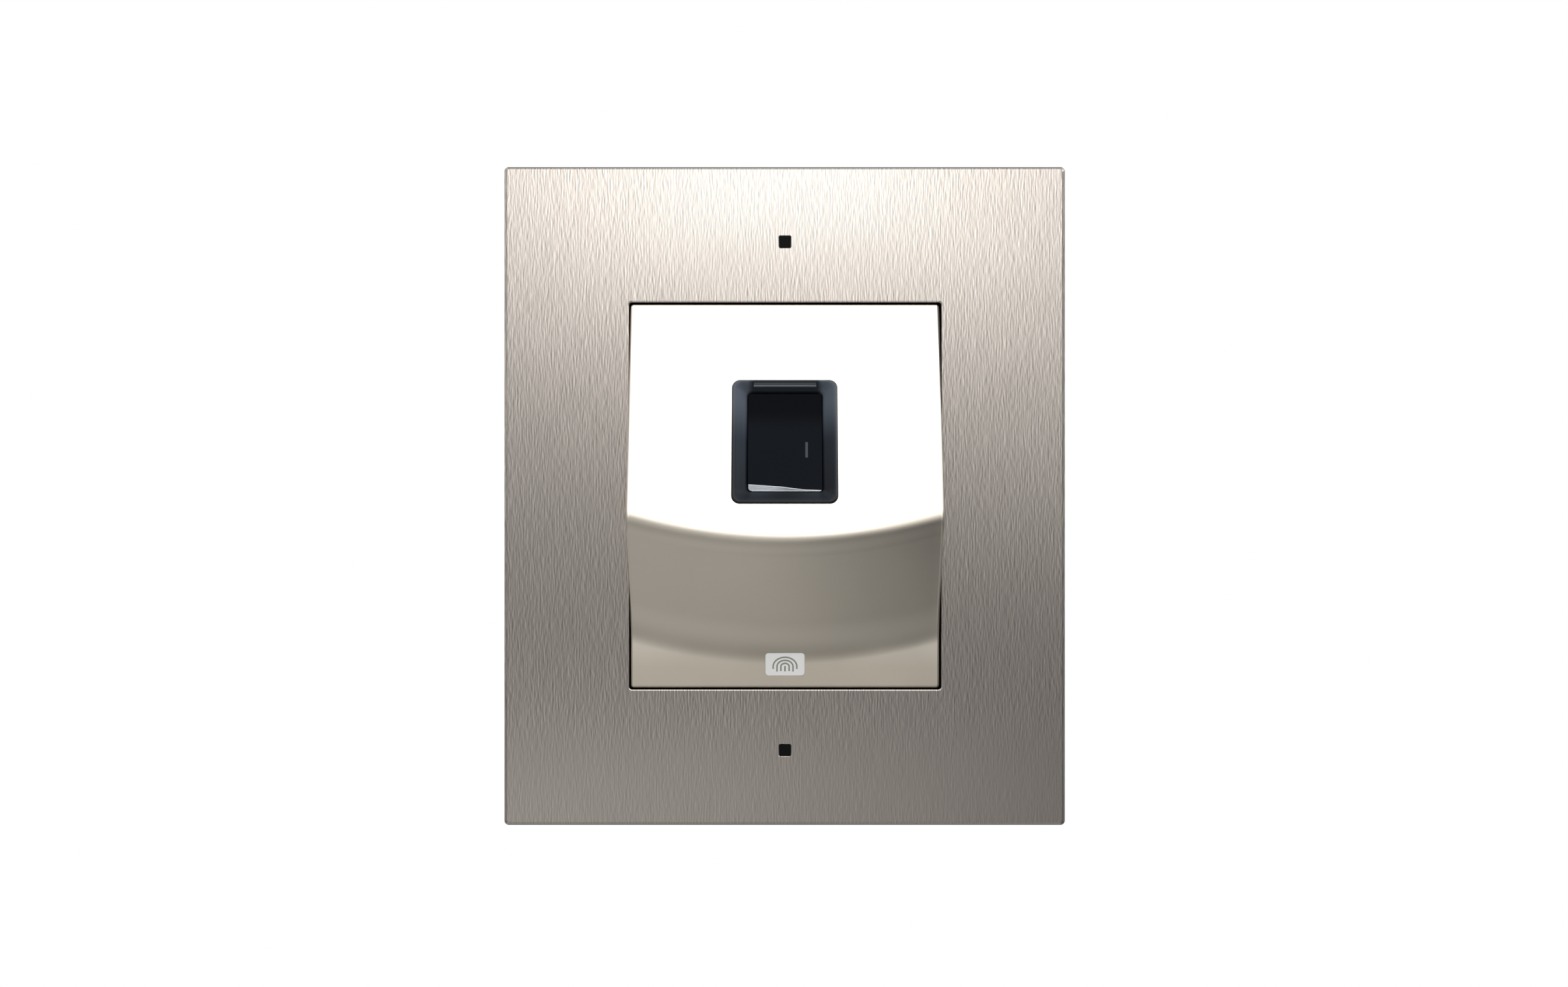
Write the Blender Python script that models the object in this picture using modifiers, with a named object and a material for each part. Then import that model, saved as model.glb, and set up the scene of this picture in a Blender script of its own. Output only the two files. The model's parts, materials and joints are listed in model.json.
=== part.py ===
"""Flush-mounted fingerprint scanner terminal, as an assembly of separate solids.

Frame: metres, +Z up, -Y towards the user, +Y into the wall. The origin is the
centre of the wall box's back face. The wall surface is the plane Y = WALL_Y and
the front face of the brushed frame is the plane Y = FRONT_Y.
"""

import math

import bmesh
import bpy
import numpy as np
from mathutils import Matrix, Vector

# ---------------------------------------------------------------- dimensions
MM = 0.001

BOX_W, BOX_H, BOX_D = 0.108, 0.131, 0.045  # in-wall box
BOX_WALL, BOX_CORNER = 0.002, 0.005
WALL_Y = -BOX_D  # the wall's surface
FRAME_W, FRAME_H, FRAME_T = 0.130, 0.153, 0.005  # brushed front frame
FRAME_PLATE_T, FRAME_RIM_T, FRAME_CORNER, FRAME_EDGE = 0.002, 0.0015, 0.0010, 0.0005
FRONT_Y = WALL_Y - FRAME_T
WINDOW_W, WINDOW_H, WINDOW_CORNER = 0.0726, 0.0901, 0.0007
PLUG_HOLE, PLUG_SIZE, PLUG_Z = 0.0030, 0.0025, 0.0589  # the two square plugs

COVER_W, COVER_H, COVER_T = 0.0714, 0.0888, 0.0018  # nose-shaped module cover
COVER_RIM_Y = FRONT_Y + 0.0036
SLOPE = 1.0 / 3.0  # the sensor face leans back by atan(1/3)
RIDGE_Z, RIDGE_RISE, RIDGE_R = -0.0104, 0.00455, 0.0046  # ridge line and its rounding
BASE_Z, BASE_RISE, BASE_R = -0.0320, 0.0044, 0.0170  # foot of the underside, its cove
CURVE_HALF = 0.034  # half chord over which both lines rise

BEZEL_W, BEZEL_H, BEZEL_CORNER = 0.0240, 0.0300, 0.0019
BEZEL_Z = 0.01244  # height of the bezel's centre
BEZEL_PROUD, BEZEL_BACK = 0.0005, 0.0037
APERTURE_W, APERTURE_H, APERTURE_CORNER = 0.0172, 0.0232, 0.0010
BAR_W, BAR_H, BAR_Z = 0.0143, 0.00115, 0.01387  # status light bar in the bezel

CHASSIS_W, CHASSIS_H, CHASSIS_T = 0.1034, 0.1264, 0.003
CHASSIS_Y = WALL_Y + 0.002  # front face of the chassis plate
FLANGE_W, FLANGE_H, FLANGE_T = 0.084, 0.101, 0.002
FLANGE_Y = WALL_Y - 0.0003  # front face of the module's flange
BODY_W, BODY_H, BODY_BACK_Y, BODY_WALL = 0.071, 0.0884, -0.016, 0.0018
BOARD_W, BOARD_H, BOARD_T, BOARD_Y = 0.065, 0.082, 0.0016, -0.0276
BOARD_FIX = (0.0305, 0.037)  # board screws, from the centre
MODULE_FIX = (0.0389, 0.0476)  # module screws
CHASSIS_FIX = (0.0462, 0.0572)  # chassis screws
FRAME_FIX = 0.0589  # frame screws, behind the plugs

TAMPER_X, TAMPER_Z, TAMPER_TRAVEL = 0.047, 0.012, 0.0010
RESET_X, RESET_Z, RESET_TRAVEL = -0.0045, -0.027, 0.00025
GROMMET_X, GROMMET_Y, GROMMET_BORE_R = -0.020, -0.013, 0.0040
GAP = 0.0003  # clearance between pieces that rest on each other

# ---------------------------------------------------------------- scene set-up
for old in list(bpy.data.objects):
    bpy.data.objects.remove(old, do_unlink=True)

scene = bpy.context.scene
parts = bpy.data.collections.new("fingerprint_terminal")
cutters = bpy.data.collections.new("cutters")
scene.collection.children.link(parts)
scene.collection.children.link(cutters)


def material(name, rgb, roughness, metallic, alpha=1.0, transmission=0.0):
    m = bpy.data.materials.new(name)
    m.use_nodes = True
    shader = m.node_tree.nodes["Principled BSDF"]
    shader.inputs["Base Color"].default_value = (*rgb, 1.0)
    shader.inputs["Roughness"].default_value = roughness
    shader.inputs["Metallic"].default_value = metallic
    shader.inputs["Alpha"].default_value = alpha
    shader.inputs["Transmission Weight"].default_value = transmission
    m.diffuse_color = (*rgb, 1.0)
    return m


NICKEL = material("brushed_nickel", (0.62, 0.58, 0.54), 0.34, 1.0)
SATIN = material("satin_nickel_coat", (0.60, 0.56, 0.50), 0.36, 0.7)
BLACK = material("black_plastic", (0.018, 0.019, 0.021), 0.45, 0.0)
BOXBLACK = material("box_plastic", (0.03, 0.03, 0.032), 0.6, 0.0)
BEZELMAT = material("bezel_plastic", (0.035, 0.04, 0.048), 0.38, 0.0)
SMOKED = material("smoked_diffuser", (0.10, 0.11, 0.12), 0.3, 0.0)
GLASS = material("sensor_glass", (0.02, 0.022, 0.026), 0.04, 0.0)
RUBBER = material("rubber", (0.02, 0.02, 0.02), 0.8, 0.0)
FOAM = material("foam_seal", (0.05, 0.05, 0.05), 0.95, 0.0)
BADGE = material("badge_print", (0.72, 0.72, 0.71), 0.5, 0.0)
ZINC = material("zinc_steel", (0.66, 0.66, 0.65), 0.3, 1.0)
CHASSIS = material("chassis_black", (0.04, 0.04, 0.042), 0.5, 0.2)
PCB = material("circuit_board", (0.02, 0.12, 0.05), 0.45, 0.0)
CHIP = material("chip_epoxy", (0.02, 0.02, 0.02), 0.55, 0.0)
LEDMAT = material("led_epoxy", (0.85, 0.85, 0.75), 0.25, 0.0)
GREEN = material("terminal_green", (0.03, 0.30, 0.10), 0.45, 0.0)
RELAY = material("relay_case", (0.05, 0.14, 0.35), 0.4, 0.0)
CANMAT = material("aluminium_can", (0.75, 0.75, 0.76), 0.25, 1.0)
IVORY = material("ivory_connector", (0.80, 0.76, 0.66), 0.5, 0.0)
RIBBON = material("ribbon_film", (0.75, 0.74, 0.70), 0.4, 0.0)
SPRINGMAT = material("spring_steel", (0.6, 0.6, 0.6), 0.25, 1.0)


def place(name, mesh, mat=None, at=(0, 0, 0), turn=(0, 0, 0), parent=None, cutter=False):
    """A named object for a mesh. at is in metres, turn in radians."""
    obj = bpy.data.objects.new(name, mesh)
    (cutters if cutter else parts).objects.link(obj)
    obj.location = at
    obj.rotation_euler = turn
    obj.parent = parent
    if mat is not None and not mesh.materials:
        mesh.materials.append(mat)
    if cutter:
        obj.hide_render = True
        obj.display_type = "WIRE"
    return obj


def mesh_from(bm, name):
    bmesh.ops.recalc_face_normals(bm, faces=bm.faces)
    mesh = bpy.data.meshes.new(name)
    bm.to_mesh(mesh)
    bm.free()
    return mesh


def block_mesh(name, size, corner=0.0, segments=3, front_edge=0.0, edge_segments=2):
    """A cube of size (x, y, z) about the origin. Edges along Y are rounded by
    corner, and the outline of the front face (at -Y) by front_edge."""
    bm = bmesh.new()
    bmesh.ops.create_cube(bm, size=1.0)
    bmesh.ops.scale(bm, vec=Vector(size), verts=bm.verts)
    if corner > 0:
        upright = [
            e for e in bm.edges
            if abs((e.verts[0].co - e.verts[1].co).normalized().y) > 0.9
        ]
        bmesh.ops.bevel(bm, geom=upright, offset=corner, offset_type="OFFSET",
                        segments=segments, profile=0.5, affect="EDGES")
    if front_edge > 0:
        low = min(v.co.y for v in bm.verts)
        outline = [e for e in bm.edges if all(abs(v.co.y - low) < 1e-7 for v in e.verts)]
        bmesh.ops.bevel(bm, geom=outline, offset=front_edge, offset_type="OFFSET",
                        segments=edge_segments, profile=0.5, affect="EDGES")
    return mesh_from(bm, name)


def block(name, low, high, mat=None, corner=0.0, segments=3, front_edge=0.0,
          edge_segments=2, parent=None, cutter=False):
    """A block between two corners, given in millimetres as (x, y, z)."""
    lo, hi = Vector(low) * MM, Vector(high) * MM
    mesh = block_mesh(name, hi - lo, corner, segments, front_edge, edge_segments)
    return place(name, mesh, mat, (lo + hi) / 2, parent=parent, cutter=cutter)


def rod(name, radius, y0, y1, x, z, mat=None, sides=16, parent=None, cutter=False, along="Y"):
    """A cylinder in millimetres, running along Y from y0 to y1 at (x, z), or
    along Z from y0 to y1 at (x, z taken as y)."""
    bm = bmesh.new()
    bmesh.ops.create_cone(bm, cap_ends=True, segments=sides, radius1=radius * MM,
                          radius2=radius * MM, depth=(y1 - y0) * MM)
    mesh = mesh_from(bm, name)
    middle = (y0 + y1) / 2 * MM
    if along == "Y":
        return place(name, mesh, mat, (x * MM, middle, z * MM), (math.pi / 2, 0, 0), parent, cutter)
    return place(name, mesh, mat, (x * MM, z * MM, middle), (0, 0, 0), parent, cutter)


def turned_mesh(name, profile, steps=16, ring=False):
    """Turns a profile of (radius, height) in millimetres about local Z. The
    profile runs down its outer side; a ring's profile closes on itself."""
    mesh = bpy.data.meshes.new(name)
    verts = [(r * MM, 0.0, h * MM) for r, h in profile]
    edges = [(i, i + 1) for i in range(len(verts) - 1)]
    if ring:
        edges.append((len(verts) - 1, 0))
    mesh.from_pydata(verts, edges, [])
    temp = bpy.data.objects.new(name + "_profile", mesh)
    parts.objects.link(temp)
    screw = temp.modifiers.new("turn", "SCREW")
    screw.axis = "Z"
    screw.steps = screw.render_steps = steps
    screw.angle = 2 * math.pi
    screw.use_merge_vertices = True
    screw.merge_threshold = 1e-6
    bpy.context.view_layer.update()
    graph = bpy.context.evaluated_depsgraph_get()
    made = bpy.data.meshes.new_from_object(temp.evaluated_get(graph))
    made.name = name
    bpy.data.objects.remove(temp, do_unlink=True)
    made.shade_smooth()
    made.set_sharp_from_angle(angle=math.radians(35))
    return made


def boolean(obj, other, operation="DIFFERENCE"):
    m = obj.modifiers.new(operation.lower() + "_" + other.name, "BOOLEAN")
    m.operation = operation
    m.solver = "EXACT"
    m.object = other
    return obj


def cut(obj, *others):
    for other in others:
        boolean(obj, other)
    return obj


def join(obj, *others):
    for other in others:
        boolean(obj, other, "UNION")
    return obj


def four(fix):
    """The four corner positions of a rectangular fixing pattern, in millimetres."""
    x, z = fix[0] / MM, fix[1] / MM
    return (("upper_left", -x, z), ("upper_right", x, z),
            ("lower_left", -x, -z), ("lower_right", x, -z))


def screw_profile(head_r, head_h, shank_r, shank_l, socket_r, socket_d):
    """Pan-head screw, head's top at height 0, round driver socket in it."""
    return [(0, -socket_d), (socket_r, -socket_d), (socket_r, 0), (head_r - 0.35, 0),
            (head_r, -0.35), (head_r, -head_h), (shank_r, -head_h),
            (shank_r, -head_h - shank_l + 0.4), (shank_r - 0.4, -head_h - shank_l),
            (0, -head_h - shank_l)]


F = FRONT_Y / MM  # front plane in millimetres
W = WALL_Y / MM

# ---------------------------------------------------------------- front frame
fw, fh = FRAME_W / MM / 2, FRAME_H / MM / 2
front_frame = block("front_frame", (-fw, F, -fh), (fw, W, fh), NICKEL,
                    corner=FRAME_CORNER, segments=3, front_edge=FRAME_EDGE, edge_segments=2)
hollow = FRAME_RIM_T / MM
cut(front_frame,
    block("frame_hollow", (-fw + hollow, F + FRAME_PLATE_T / MM, -fh + hollow),
          (fw - hollow, W + 2, fh - hollow), corner=0.0006, segments=1, cutter=True))
window = block("frame_window", (-WINDOW_W / MM / 2, F - 2, -WINDOW_H / MM / 2),
               (WINDOW_W / MM / 2, W + 2, WINDOW_H / MM / 2),
               corner=WINDOW_CORNER, segments=3, cutter=True)
cut(front_frame, window)
for side, sign in (("upper", 1), ("lower", -1)):
    z = FRAME_FIX / MM * sign
    half = PLUG_HOLE / MM / 2
    # U-shaped bracket behind the plate: it traps the frame screw's head.
    bracket = block(f"{side}_bracket", (-4.6, F + 1.8, z - 3.5), (4.6, W + 0.3, z + 3.5), cutter=True)
    pocket = block(f"{side}_pocket", (-3.4, F + 1.0, z - 5), (3.4, W - 0.7, z + 5), cutter=True)
    inner = z - 6 if sign > 0 else z - 1.7
    outer = z + 1.7 if sign > 0 else z + 6
    slot = block(f"{side}_slot", (-1.7, W - 2, inner), (1.7, W + 2, outer), cutter=True)
    cut(bracket, pocket, slot)
    # the bracket's upper half milimetre stays buried in the plate after the pocket is cut
    join(front_frame, bracket)
    cut(front_frame, block(f"{side}_plug_hole", (-half, F - 1, z - half),
                           (half, F + FRAME_PLATE_T / MM + 0.6, z + half), corner=0.0003,
                           segments=2, cutter=True))

plug = PLUG_SIZE / MM / 2
plug_mesh = block_mesh("screw_plug", Vector((PLUG_SIZE, 0.0016, PLUG_SIZE)), 0.0003, 2, 0.00015, 1)
plug_mesh.materials.append(BLACK)
frame_screw_mesh = turned_mesh("frame_screw", screw_profile(2.3, 1.7, 1.45, 9.5, 1.1, 1.0), 16)
frame_screw_mesh.materials.append(ZINC)
for side, sign in (("upper", 1), ("lower", -1)):
    place(f"{side}_screw_plug", plug_mesh, at=(0, FRONT_Y + 0.0011, PLUG_Z * sign))
    place(f"{side}_frame_screw", frame_screw_mesh,
          at=(0, (F + 2.3) * MM, FRAME_FIX * sign), turn=(math.pi / 2, 0, 0))

# Foam seal between the frame and the wall, inside the frame's rim.
frame_seal = block("frame_seal", (-63.2, F + 2.3, -74.7), (63.2, W, 74.7), FOAM, corner=0.001, segments=1)
cut(frame_seal, block("seal_hole", (-57, F, -68.5), (57, W + 2, 68.5), corner=0.003, segments=2, cutter=True))

# ---------------------------------------------------------------- module cover


def fillet(before, corner, after, radius, count):
    """Points of an arc that rounds a corner between two straight runs."""
    a, v, b = Vector(before), Vector(corner), Vector(after)
    d1, d2 = (a - v).normalized(), (b - v).normalized()
    angle = d1.angle(d2)
    tangent = radius / math.tan(angle / 2)
    bisector = (d1 + d2).normalized()
    centre = v + bisector * (radius / math.sin(angle / 2))
    start, end = v + d1 * tangent - centre, v + d2 * tangent - centre
    sweep = start.angle(end)
    points = []
    for k in range(count):
        t = k / (count - 1)
        w0 = math.sin((1 - t) * sweep) / math.sin(sweep)
        w1 = math.sin(t * sweep) / math.sin(sweep)
        points.append(centre + start * w0 + end * w1)
    return points


def cover_profile(x):
    """(height, forward) points of the cover's outer face in the slice at x."""
    rise = (x / CURVE_HALF) ** 2
    top, bottom = COVER_H / 2, -COVER_H / 2
    ridge_z = RIDGE_Z + RIDGE_RISE * rise
    ridge = (ridge_z, (top - ridge_z) * SLOPE)
    foot = (BASE_Z + BASE_RISE * rise, 0.0)
    start, end = (top, 0.0), (bottom, 0.0)
    over = fillet(start, ridge, foot, RIDGE_R, 6)
    under = fillet(ridge, foot, end, BASE_R, 7)
    points = [Vector(start)]
    points += [Vector(start).lerp(over[0], t) for t in (0.33, 0.67)]
    points += over
    points += [over[-1].lerp(under[0], 0.5)]
    points += under
    points += [Vector(end)]
    return points


def cover_mesh(columns):
    """An open tray: the nose-shaped face with side walls drawn back to the rim."""
    rows = len(cover_profile(0.0)) - 1
    bm = bmesh.new()
    bmesh.ops.create_grid(bm, x_segments=columns, y_segments=rows, size=0.5)
    for v in bm.verts:
        i = round((v.co.x + 0.5) * columns)
        j = rows - round((v.co.y + 0.5) * rows)
        x = COVER_W * (i / columns - 0.5)
        z, forward = cover_profile(x)[j]
        v.co = (x, FRONT_Y - forward, z)
    rim = [e for e in bm.edges if e.is_boundary]
    made = bmesh.ops.extrude_edge_only(bm, edges=rim)
    for v in (g for g in made["geom"] if isinstance(g, bmesh.types.BMVert)):
        v.co.y = COVER_RIM_Y
    bmesh.ops.recalc_face_normals(bm, faces=bm.faces)
    if max(bm.faces, key=lambda f: f.calc_area()).normal.y > 0:
        bmesh.ops.reverse_faces(bm, faces=bm.faces)
    mesh = bpy.data.meshes.new("module_cover")
    bm.to_mesh(mesh)
    bm.free()
    return mesh


module_cover = place("module_cover", cover_mesh(12), SATIN)
shell = module_cover.modifiers.new("wall", "SOLIDIFY")
shell.thickness = COVER_T
shell.offset = -1.0
shell.use_even_offset = True
shell.use_quality_normals = True

# The slope empty carries everything that sits square to the sensor face.
slope = bpy.data.objects.new("sensor_face", None)
parts.objects.link(slope)
slope.location = (0, FRONT_Y - (COVER_H / 2 - BEZEL_Z) * SLOPE, BEZEL_Z)
slope.rotation_euler = (-math.atan(SLOPE), 0, 0)

cut(module_cover,
    block("sensor_opening", (-12.2, -4, -15.2), (12.2, 7, 15.2), corner=0.0021,
          segments=4, parent=slope, cutter=True))
# Bosses for the two screws that hold the cover on the rear housing.
for side, z, reach in (("upper", 40.2, -50.6), ("lower", -40.0, -49.0)):
    boss = rod(f"{side}_cover_boss", 2.3, reach, -45.7, 0, z, sides=12, cutter=True)
    join(module_cover, boss)
    cut(module_cover, rod(f"{side}_cover_tap", 1.15, -48.0, -45.0, 0, z, sides=12, cutter=True))
# Shallow pocket for the badge.
cut(module_cover, block("badge_pocket", (-4.85, F - 1, -41.95), (4.85, F + 0.45, -36.05),
                        corner=0.001, segments=2, cutter=True))
block("badge_plate", (-4.55, F - 0.08, -41.65), (4.55, F + 0.2, -36.35), BADGE,
      corner=0.0008, segments=3)

# ---------------------------------------------------------------- sensor stack
bw, bh = BEZEL_W / MM / 2, BEZEL_H / MM / 2
sensor_bezel = block("sensor_bezel", (-bw, -BEZEL_PROUD / MM, -bh), (bw, BEZEL_BACK / MM, bh), BEZELMAT,
                     corner=BEZEL_CORNER, segments=4, front_edge=0.0003, edge_segments=2, parent=slope)
flange = block("bezel_flange", (-16, 2.2, -16.4), (16, BEZEL_BACK / MM, 16.4), corner=0.002,
               segments=2, parent=slope, cutter=True)
join(sensor_bezel, flange)
aw, ah = APERTURE_W / MM / 2, APERTURE_H / MM / 2
cut(sensor_bezel, block("aperture", (-aw, -2, -ah), (aw, 6, ah), corner=APERTURE_CORNER,
                        segments=3, parent=slope, cutter=True))
# The dished guide face: a tapered plug, wide at the front.
dish = block_mesh("dish", Vector((APERTURE_W, 0.0027, APERTURE_H)), 0.0010, 3)
for v in dish.vertices:
    if v.co.y < 0:
        v.co.x += math.copysign(0.0029, v.co.x)
        v.co.z += 0.0024 if v.co.z > 0 else -0.0030
cut(sensor_bezel, place("dish", dish, at=(0, (1.6 - 1.35) * MM, 0), parent=slope, cutter=True))
bar_z = BAR_Z / MM
cut(sensor_bezel, block("bar_slot", (-7.35, -2, bar_z - 0.775), (7.35, 6, bar_z + 0.775),
                        parent=slope, cutter=True))
for side, x in (("left", -13.6), ("right", 13.6)):
    cut(sensor_bezel, rod(f"bezel_tap_{side}", 1.15, 2.9, 6, x, 0, sides=12, parent=slope, cutter=True))

block("light_bar", (-BAR_W / MM / 2, -0.42, bar_z - BAR_H / MM / 2),
      (BAR_W / MM / 2, 3.5, bar_z + BAR_H / MM / 2), SMOKED, parent=slope)
block("indicator_board", (-8.5, 4.7, 13.1), (8.5, 5.7, 16.9), PCB, parent=slope)
for side, x in (("left", -4.0), ("right", 4.0)):
    block(f"indicator_led_{side}", (x - 1.0, 3.95, 13.35), (x + 1.0, 4.5, 14.4), LEDMAT, parent=slope)

# Glass prism: its back face is cut on the slant, deeper at the top.
prism = block_mesh("platen_prism", Vector((0.0168, 0.0086, 0.0228)), 0.0008, 3)
for v in prism.vertices:
    if v.co.y > 0:
        v.co.y = 0.0043 - 0.0046 * (0.0114 - v.co.z) / 0.0228
place("platen_prism", prism, GLASS, (0, 6.2 * MM, 0), parent=slope)

platen_seal = block("platen_seal", (-10.1, 4.0, -12.6), (10.1, 5.0, 12.6), RUBBER, corner=0.001,
                    segments=2, parent=slope)
cut(platen_seal, block("seal_aperture", (-8.7, 3, -11.7), (8.7, 6, 11.7), corner=0.001,
                       segments=2, parent=slope, cutter=True))

sensor_housing = block("sensor_housing", (-10.5, 5.3, -12.8), (10.5, 19.5, 12.8), BLACK,
                       corner=0.001, segments=2, parent=slope)
ears = block("housing_ears", (-15.8, 5.3, -3.2), (15.8, 7.2, 3.2), parent=slope, cutter=True)
join(sensor_housing, ears)
cut(sensor_housing, block("housing_bore", (-8.8, 4, -11.7), (8.8, 21, 11.7), parent=slope, cutter=True))
for side, x in (("left", -13.6), ("right", 13.6)):
    cut(sensor_housing, rod(f"ear_hole_{side}", 1.15, 4, 9, x, 0, sides=12, parent=slope, cutter=True))
sensor_screw_mesh = turned_mesh("sensor_screw", screw_profile(1.7, 1.2, 0.85, 4.4, 0.8, 0.6), 12)
sensor_screw_mesh.materials.append(ZINC)
for side, x in (("left", -13.6), ("right", 13.6)):
    place(f"sensor_screw_{side}", sensor_screw_mesh, at=(x * MM, 8.7 * MM, 0),
          turn=(-math.pi / 2, 0, 0), parent=slope)

block("illumination_board", (-8.2, 13.0, 2.6), (8.2, 14.0, 11.3), PCB, parent=slope)
for side, x in (("left", -4.5), ("right", 4.5)):
    block(f"illumination_led_{side}", (x - 1.2, 12.0, 5.8), (x + 1.2, 12.8, 8.2), LEDMAT, parent=slope)
lens_mesh = turned_mesh("lens_barrel", [(0, -0.8), (2.0, -0.8), (2.6, 0), (3.4, 0), (3.4, -3.0),
                                        (4.2, -3.0), (4.2, -5.4), (0, -5.4)], 20)
place("lens_barrel", lens_mesh, CHIP, (0, 12.9 * MM, -4.5 * MM), (math.pi / 2, 0, 0), slope)
block("image_sensor", (-4.0, 18.5, -8.5), (4.0, 19.5, -0.5), CHIP, parent=slope)
camera_board = block("camera_board", (-10.5, 19.8, -12.8), (10.5, 21.0, 12.8), PCB, parent=slope)
block("camera_connector", (-6.5, 21.2, -10.0), (6.5, 23.2, -6.0), IVORY, parent=slope)

# ---------------------------------------------------------------- rear housing
flw, flh = FLANGE_W / MM / 2, FLANGE_H / MM / 2
fy = FLANGE_Y / MM
bdw, bdh, bby = BODY_W / MM / 2, BODY_H / MM / 2, BODY_BACK_Y / MM
rear_housing = block("rear_housing", (-bdw, fy, -bdh), (bdw, bby, bdh), BLACK, corner=0.002, segments=2)
join(rear_housing, block("housing_flange", (-flw, fy, -flh), (flw, fy + FLANGE_T / MM, flh),
                         corner=0.003, segments=2, cutter=True))
t = BODY_WALL / MM
cut(rear_housing, block("housing_cavity", (-bdw + t, fy - 2, -bdh + t), (bdw - t, bby - t, bdh - t),
                        corner=0.001, segments=1, cutter=True))
cut(rear_housing, block("connector_bay", (-27, -26.4, -46), (27, bby + 2, -22), cutter=True))
bx, bz = BOARD_FIX[0] / MM, BOARD_FIX[1] / MM
for name, x, z in four(BOARD_FIX):
    join(rear_housing, rod(f"post_{name}", 2.6, -25.7, bby - 0.5, x, z, sides=12, cutter=True))
    cut(rear_housing, rod(f"post_tap_{name}", 1.3, -27, -19.0, x, z, sides=10, cutter=True))
for name, x, z in four(MODULE_FIX):
    cut(rear_housing, rod(f"flange_hole_{name}", 1.55, fy - 1, fy + 4, x, z, sides=12, cutter=True))
# Lugs inside the mouth for the two cover screws.
for side, z, edge in (("upper", 40.2, 43.6), ("lower", -40.0, -43.6)):
    lo, hi = (z - 2.8, edge) if z > 0 else (edge, z + 2.8)
    join(rear_housing, block(f"{side}_lug", (-4, fy, lo), (4, fy + 2, hi), cutter=True))
    cut(rear_housing, rod(f"{side}_lug_hole", 1.25, fy - 1, fy + 3, 0, z, sides=12, cutter=True))

cover_screw_mesh = turned_mesh("cover_screw", screw_profile(2.0, 1.3, 0.85, 4.0, 0.8, 0.7), 12)
cover_screw_mesh.materials.append(ZINC)
for side, z in (("upper", 40.2), ("lower", -40.0)):
    place(f"{side}_cover_screw", cover_screw_mesh, at=(0, (fy + 2 + 0.2 + 1.3) * MM, z * MM),
          turn=(-math.pi / 2, 0, 0))

cover_gasket = block("cover_gasket", (-35.3, fy - 0.8, -44.0), (35.3, fy - 0.3, 44.0), RUBBER,
                     corner=0.0008, segments=1)
cut(cover_gasket, block("gasket_hole", (-34.0, fy - 2, -42.7), (34.0, fy + 1, 42.7), cutter=True))

module_screw_mesh = turned_mesh("module_screw", screw_profile(2.4, 1.5, 1.25, 7.5, 1.0, 0.8), 14)
module_screw_mesh.materials.append(ZINC)
for name, x, z in four(MODULE_FIX):
    place(f"module_screw_{name}", module_screw_mesh, at=(x * MM, (fy - 1.8) * MM, z * MM),
          turn=(math.pi / 2, 0, 0))

# ---------------------------------------------------------------- chassis
cy = CHASSIS_Y / MM
cw, ch = CHASSIS_W / MM / 2, CHASSIS_H / MM / 2
chassis = block("chassis", (-cw, cy, -ch), (cw, cy + CHASSIS_T / MM, ch), CHASSIS, corner=0.003, segments=2)
cut(chassis, block("chassis_window", (-36.6, cy - 2, -45.4), (36.6, cy + 5, 45.4), corner=0.0025,
                   segments=2, cutter=True))
for name, x, z in four(MODULE_FIX):
    join(chassis, rod(f"boss_{name}", 2.6, cy + 1, cy + 8, x, z, sides=12, cutter=True))
    cut(chassis, rod(f"boss_hole_{name}", 1.55, cy - 1, cy + 9, x, z, sides=12, cutter=True))
for side, sign in (("upper", 1), ("lower", -1)):
    join(chassis, rod(f"{side}_boss", 3.2, cy + 1, cy + 9, 0, FRAME_FIX / MM * sign, sides=12, cutter=True))
    cut(chassis, rod(f"{side}_boss_hole", 1.75, cy - 1, cy + 10, 0, FRAME_FIX / MM * sign,
                     sides=12, cutter=True))
for name, x, z in four(CHASSIS_FIX):
    cut(chassis, rod(f"chassis_hole_{name}", 1.9, cy - 1, cy + 5, x, z, sides=12, cutter=True))
tx, tz = TAMPER_X / MM, TAMPER_Z / MM
cut(chassis, rod("tamper_hole", 1.5, cy - 1, cy + 5, tx, tz, sides=16, cutter=True))
chassis_screw_mesh = turned_mesh("chassis_screw", screw_profile(3.0, 2.0, 1.6, 12.5, 1.2, 1.0), 14)
chassis_screw_mesh.materials.append(ZINC)
for name, x, z in four(CHASSIS_FIX):
    place(f"chassis_screw_{name}", chassis_screw_mesh, at=(x * MM, (cy - 2.3) * MM, z * MM),
          turn=(math.pi / 2, 0, 0))

# ---------------------------------------------------------------- wall box
xw, xh = BOX_W / MM / 2, BOX_H / MM / 2
wall_box = block("wall_box", (-xw, W, -xh), (xw, 0, xh), BOXBLACK, corner=BOX_CORNER, segments=3)
wt = BOX_WALL / MM
cut(wall_box, block("box_hollow", (-xw + wt, W - 2, -xh + wt), (xw - wt, -wt, xh - wt),
                    corner=0.003, segments=2, cutter=True))
px, pz = CHASSIS_FIX[0] / MM, CHASSIS_FIX[1] / MM
for name, x, z in four(CHASSIS_FIX):
    sx, sz = math.copysign(1, x), math.copysign(1, z)
    xs, zs = sorted((x - sx * 5, sx * (xw - 0.8))), sorted((z - sz * 5, sz * (xh - 0.8)))
    post = block(f"box_post_{name}", (xs[0], -39.7, zs[0]), (xs[1], -1.0, zs[1]), cutter=True)
    join(wall_box, post)
    # the box's outer corner is rounded, so the post is trimmed to the same outline
    cut(wall_box, rod(f"box_tap_{name}", 1.9, -41, -27.0, x, z, sides=12, cutter=True))
outline = block("box_outline", (-xw, W - 1, -xh), (xw, 1, xh), corner=BOX_CORNER, segments=3, cutter=True)
boolean(wall_box, outline, "INTERSECT")
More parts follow.
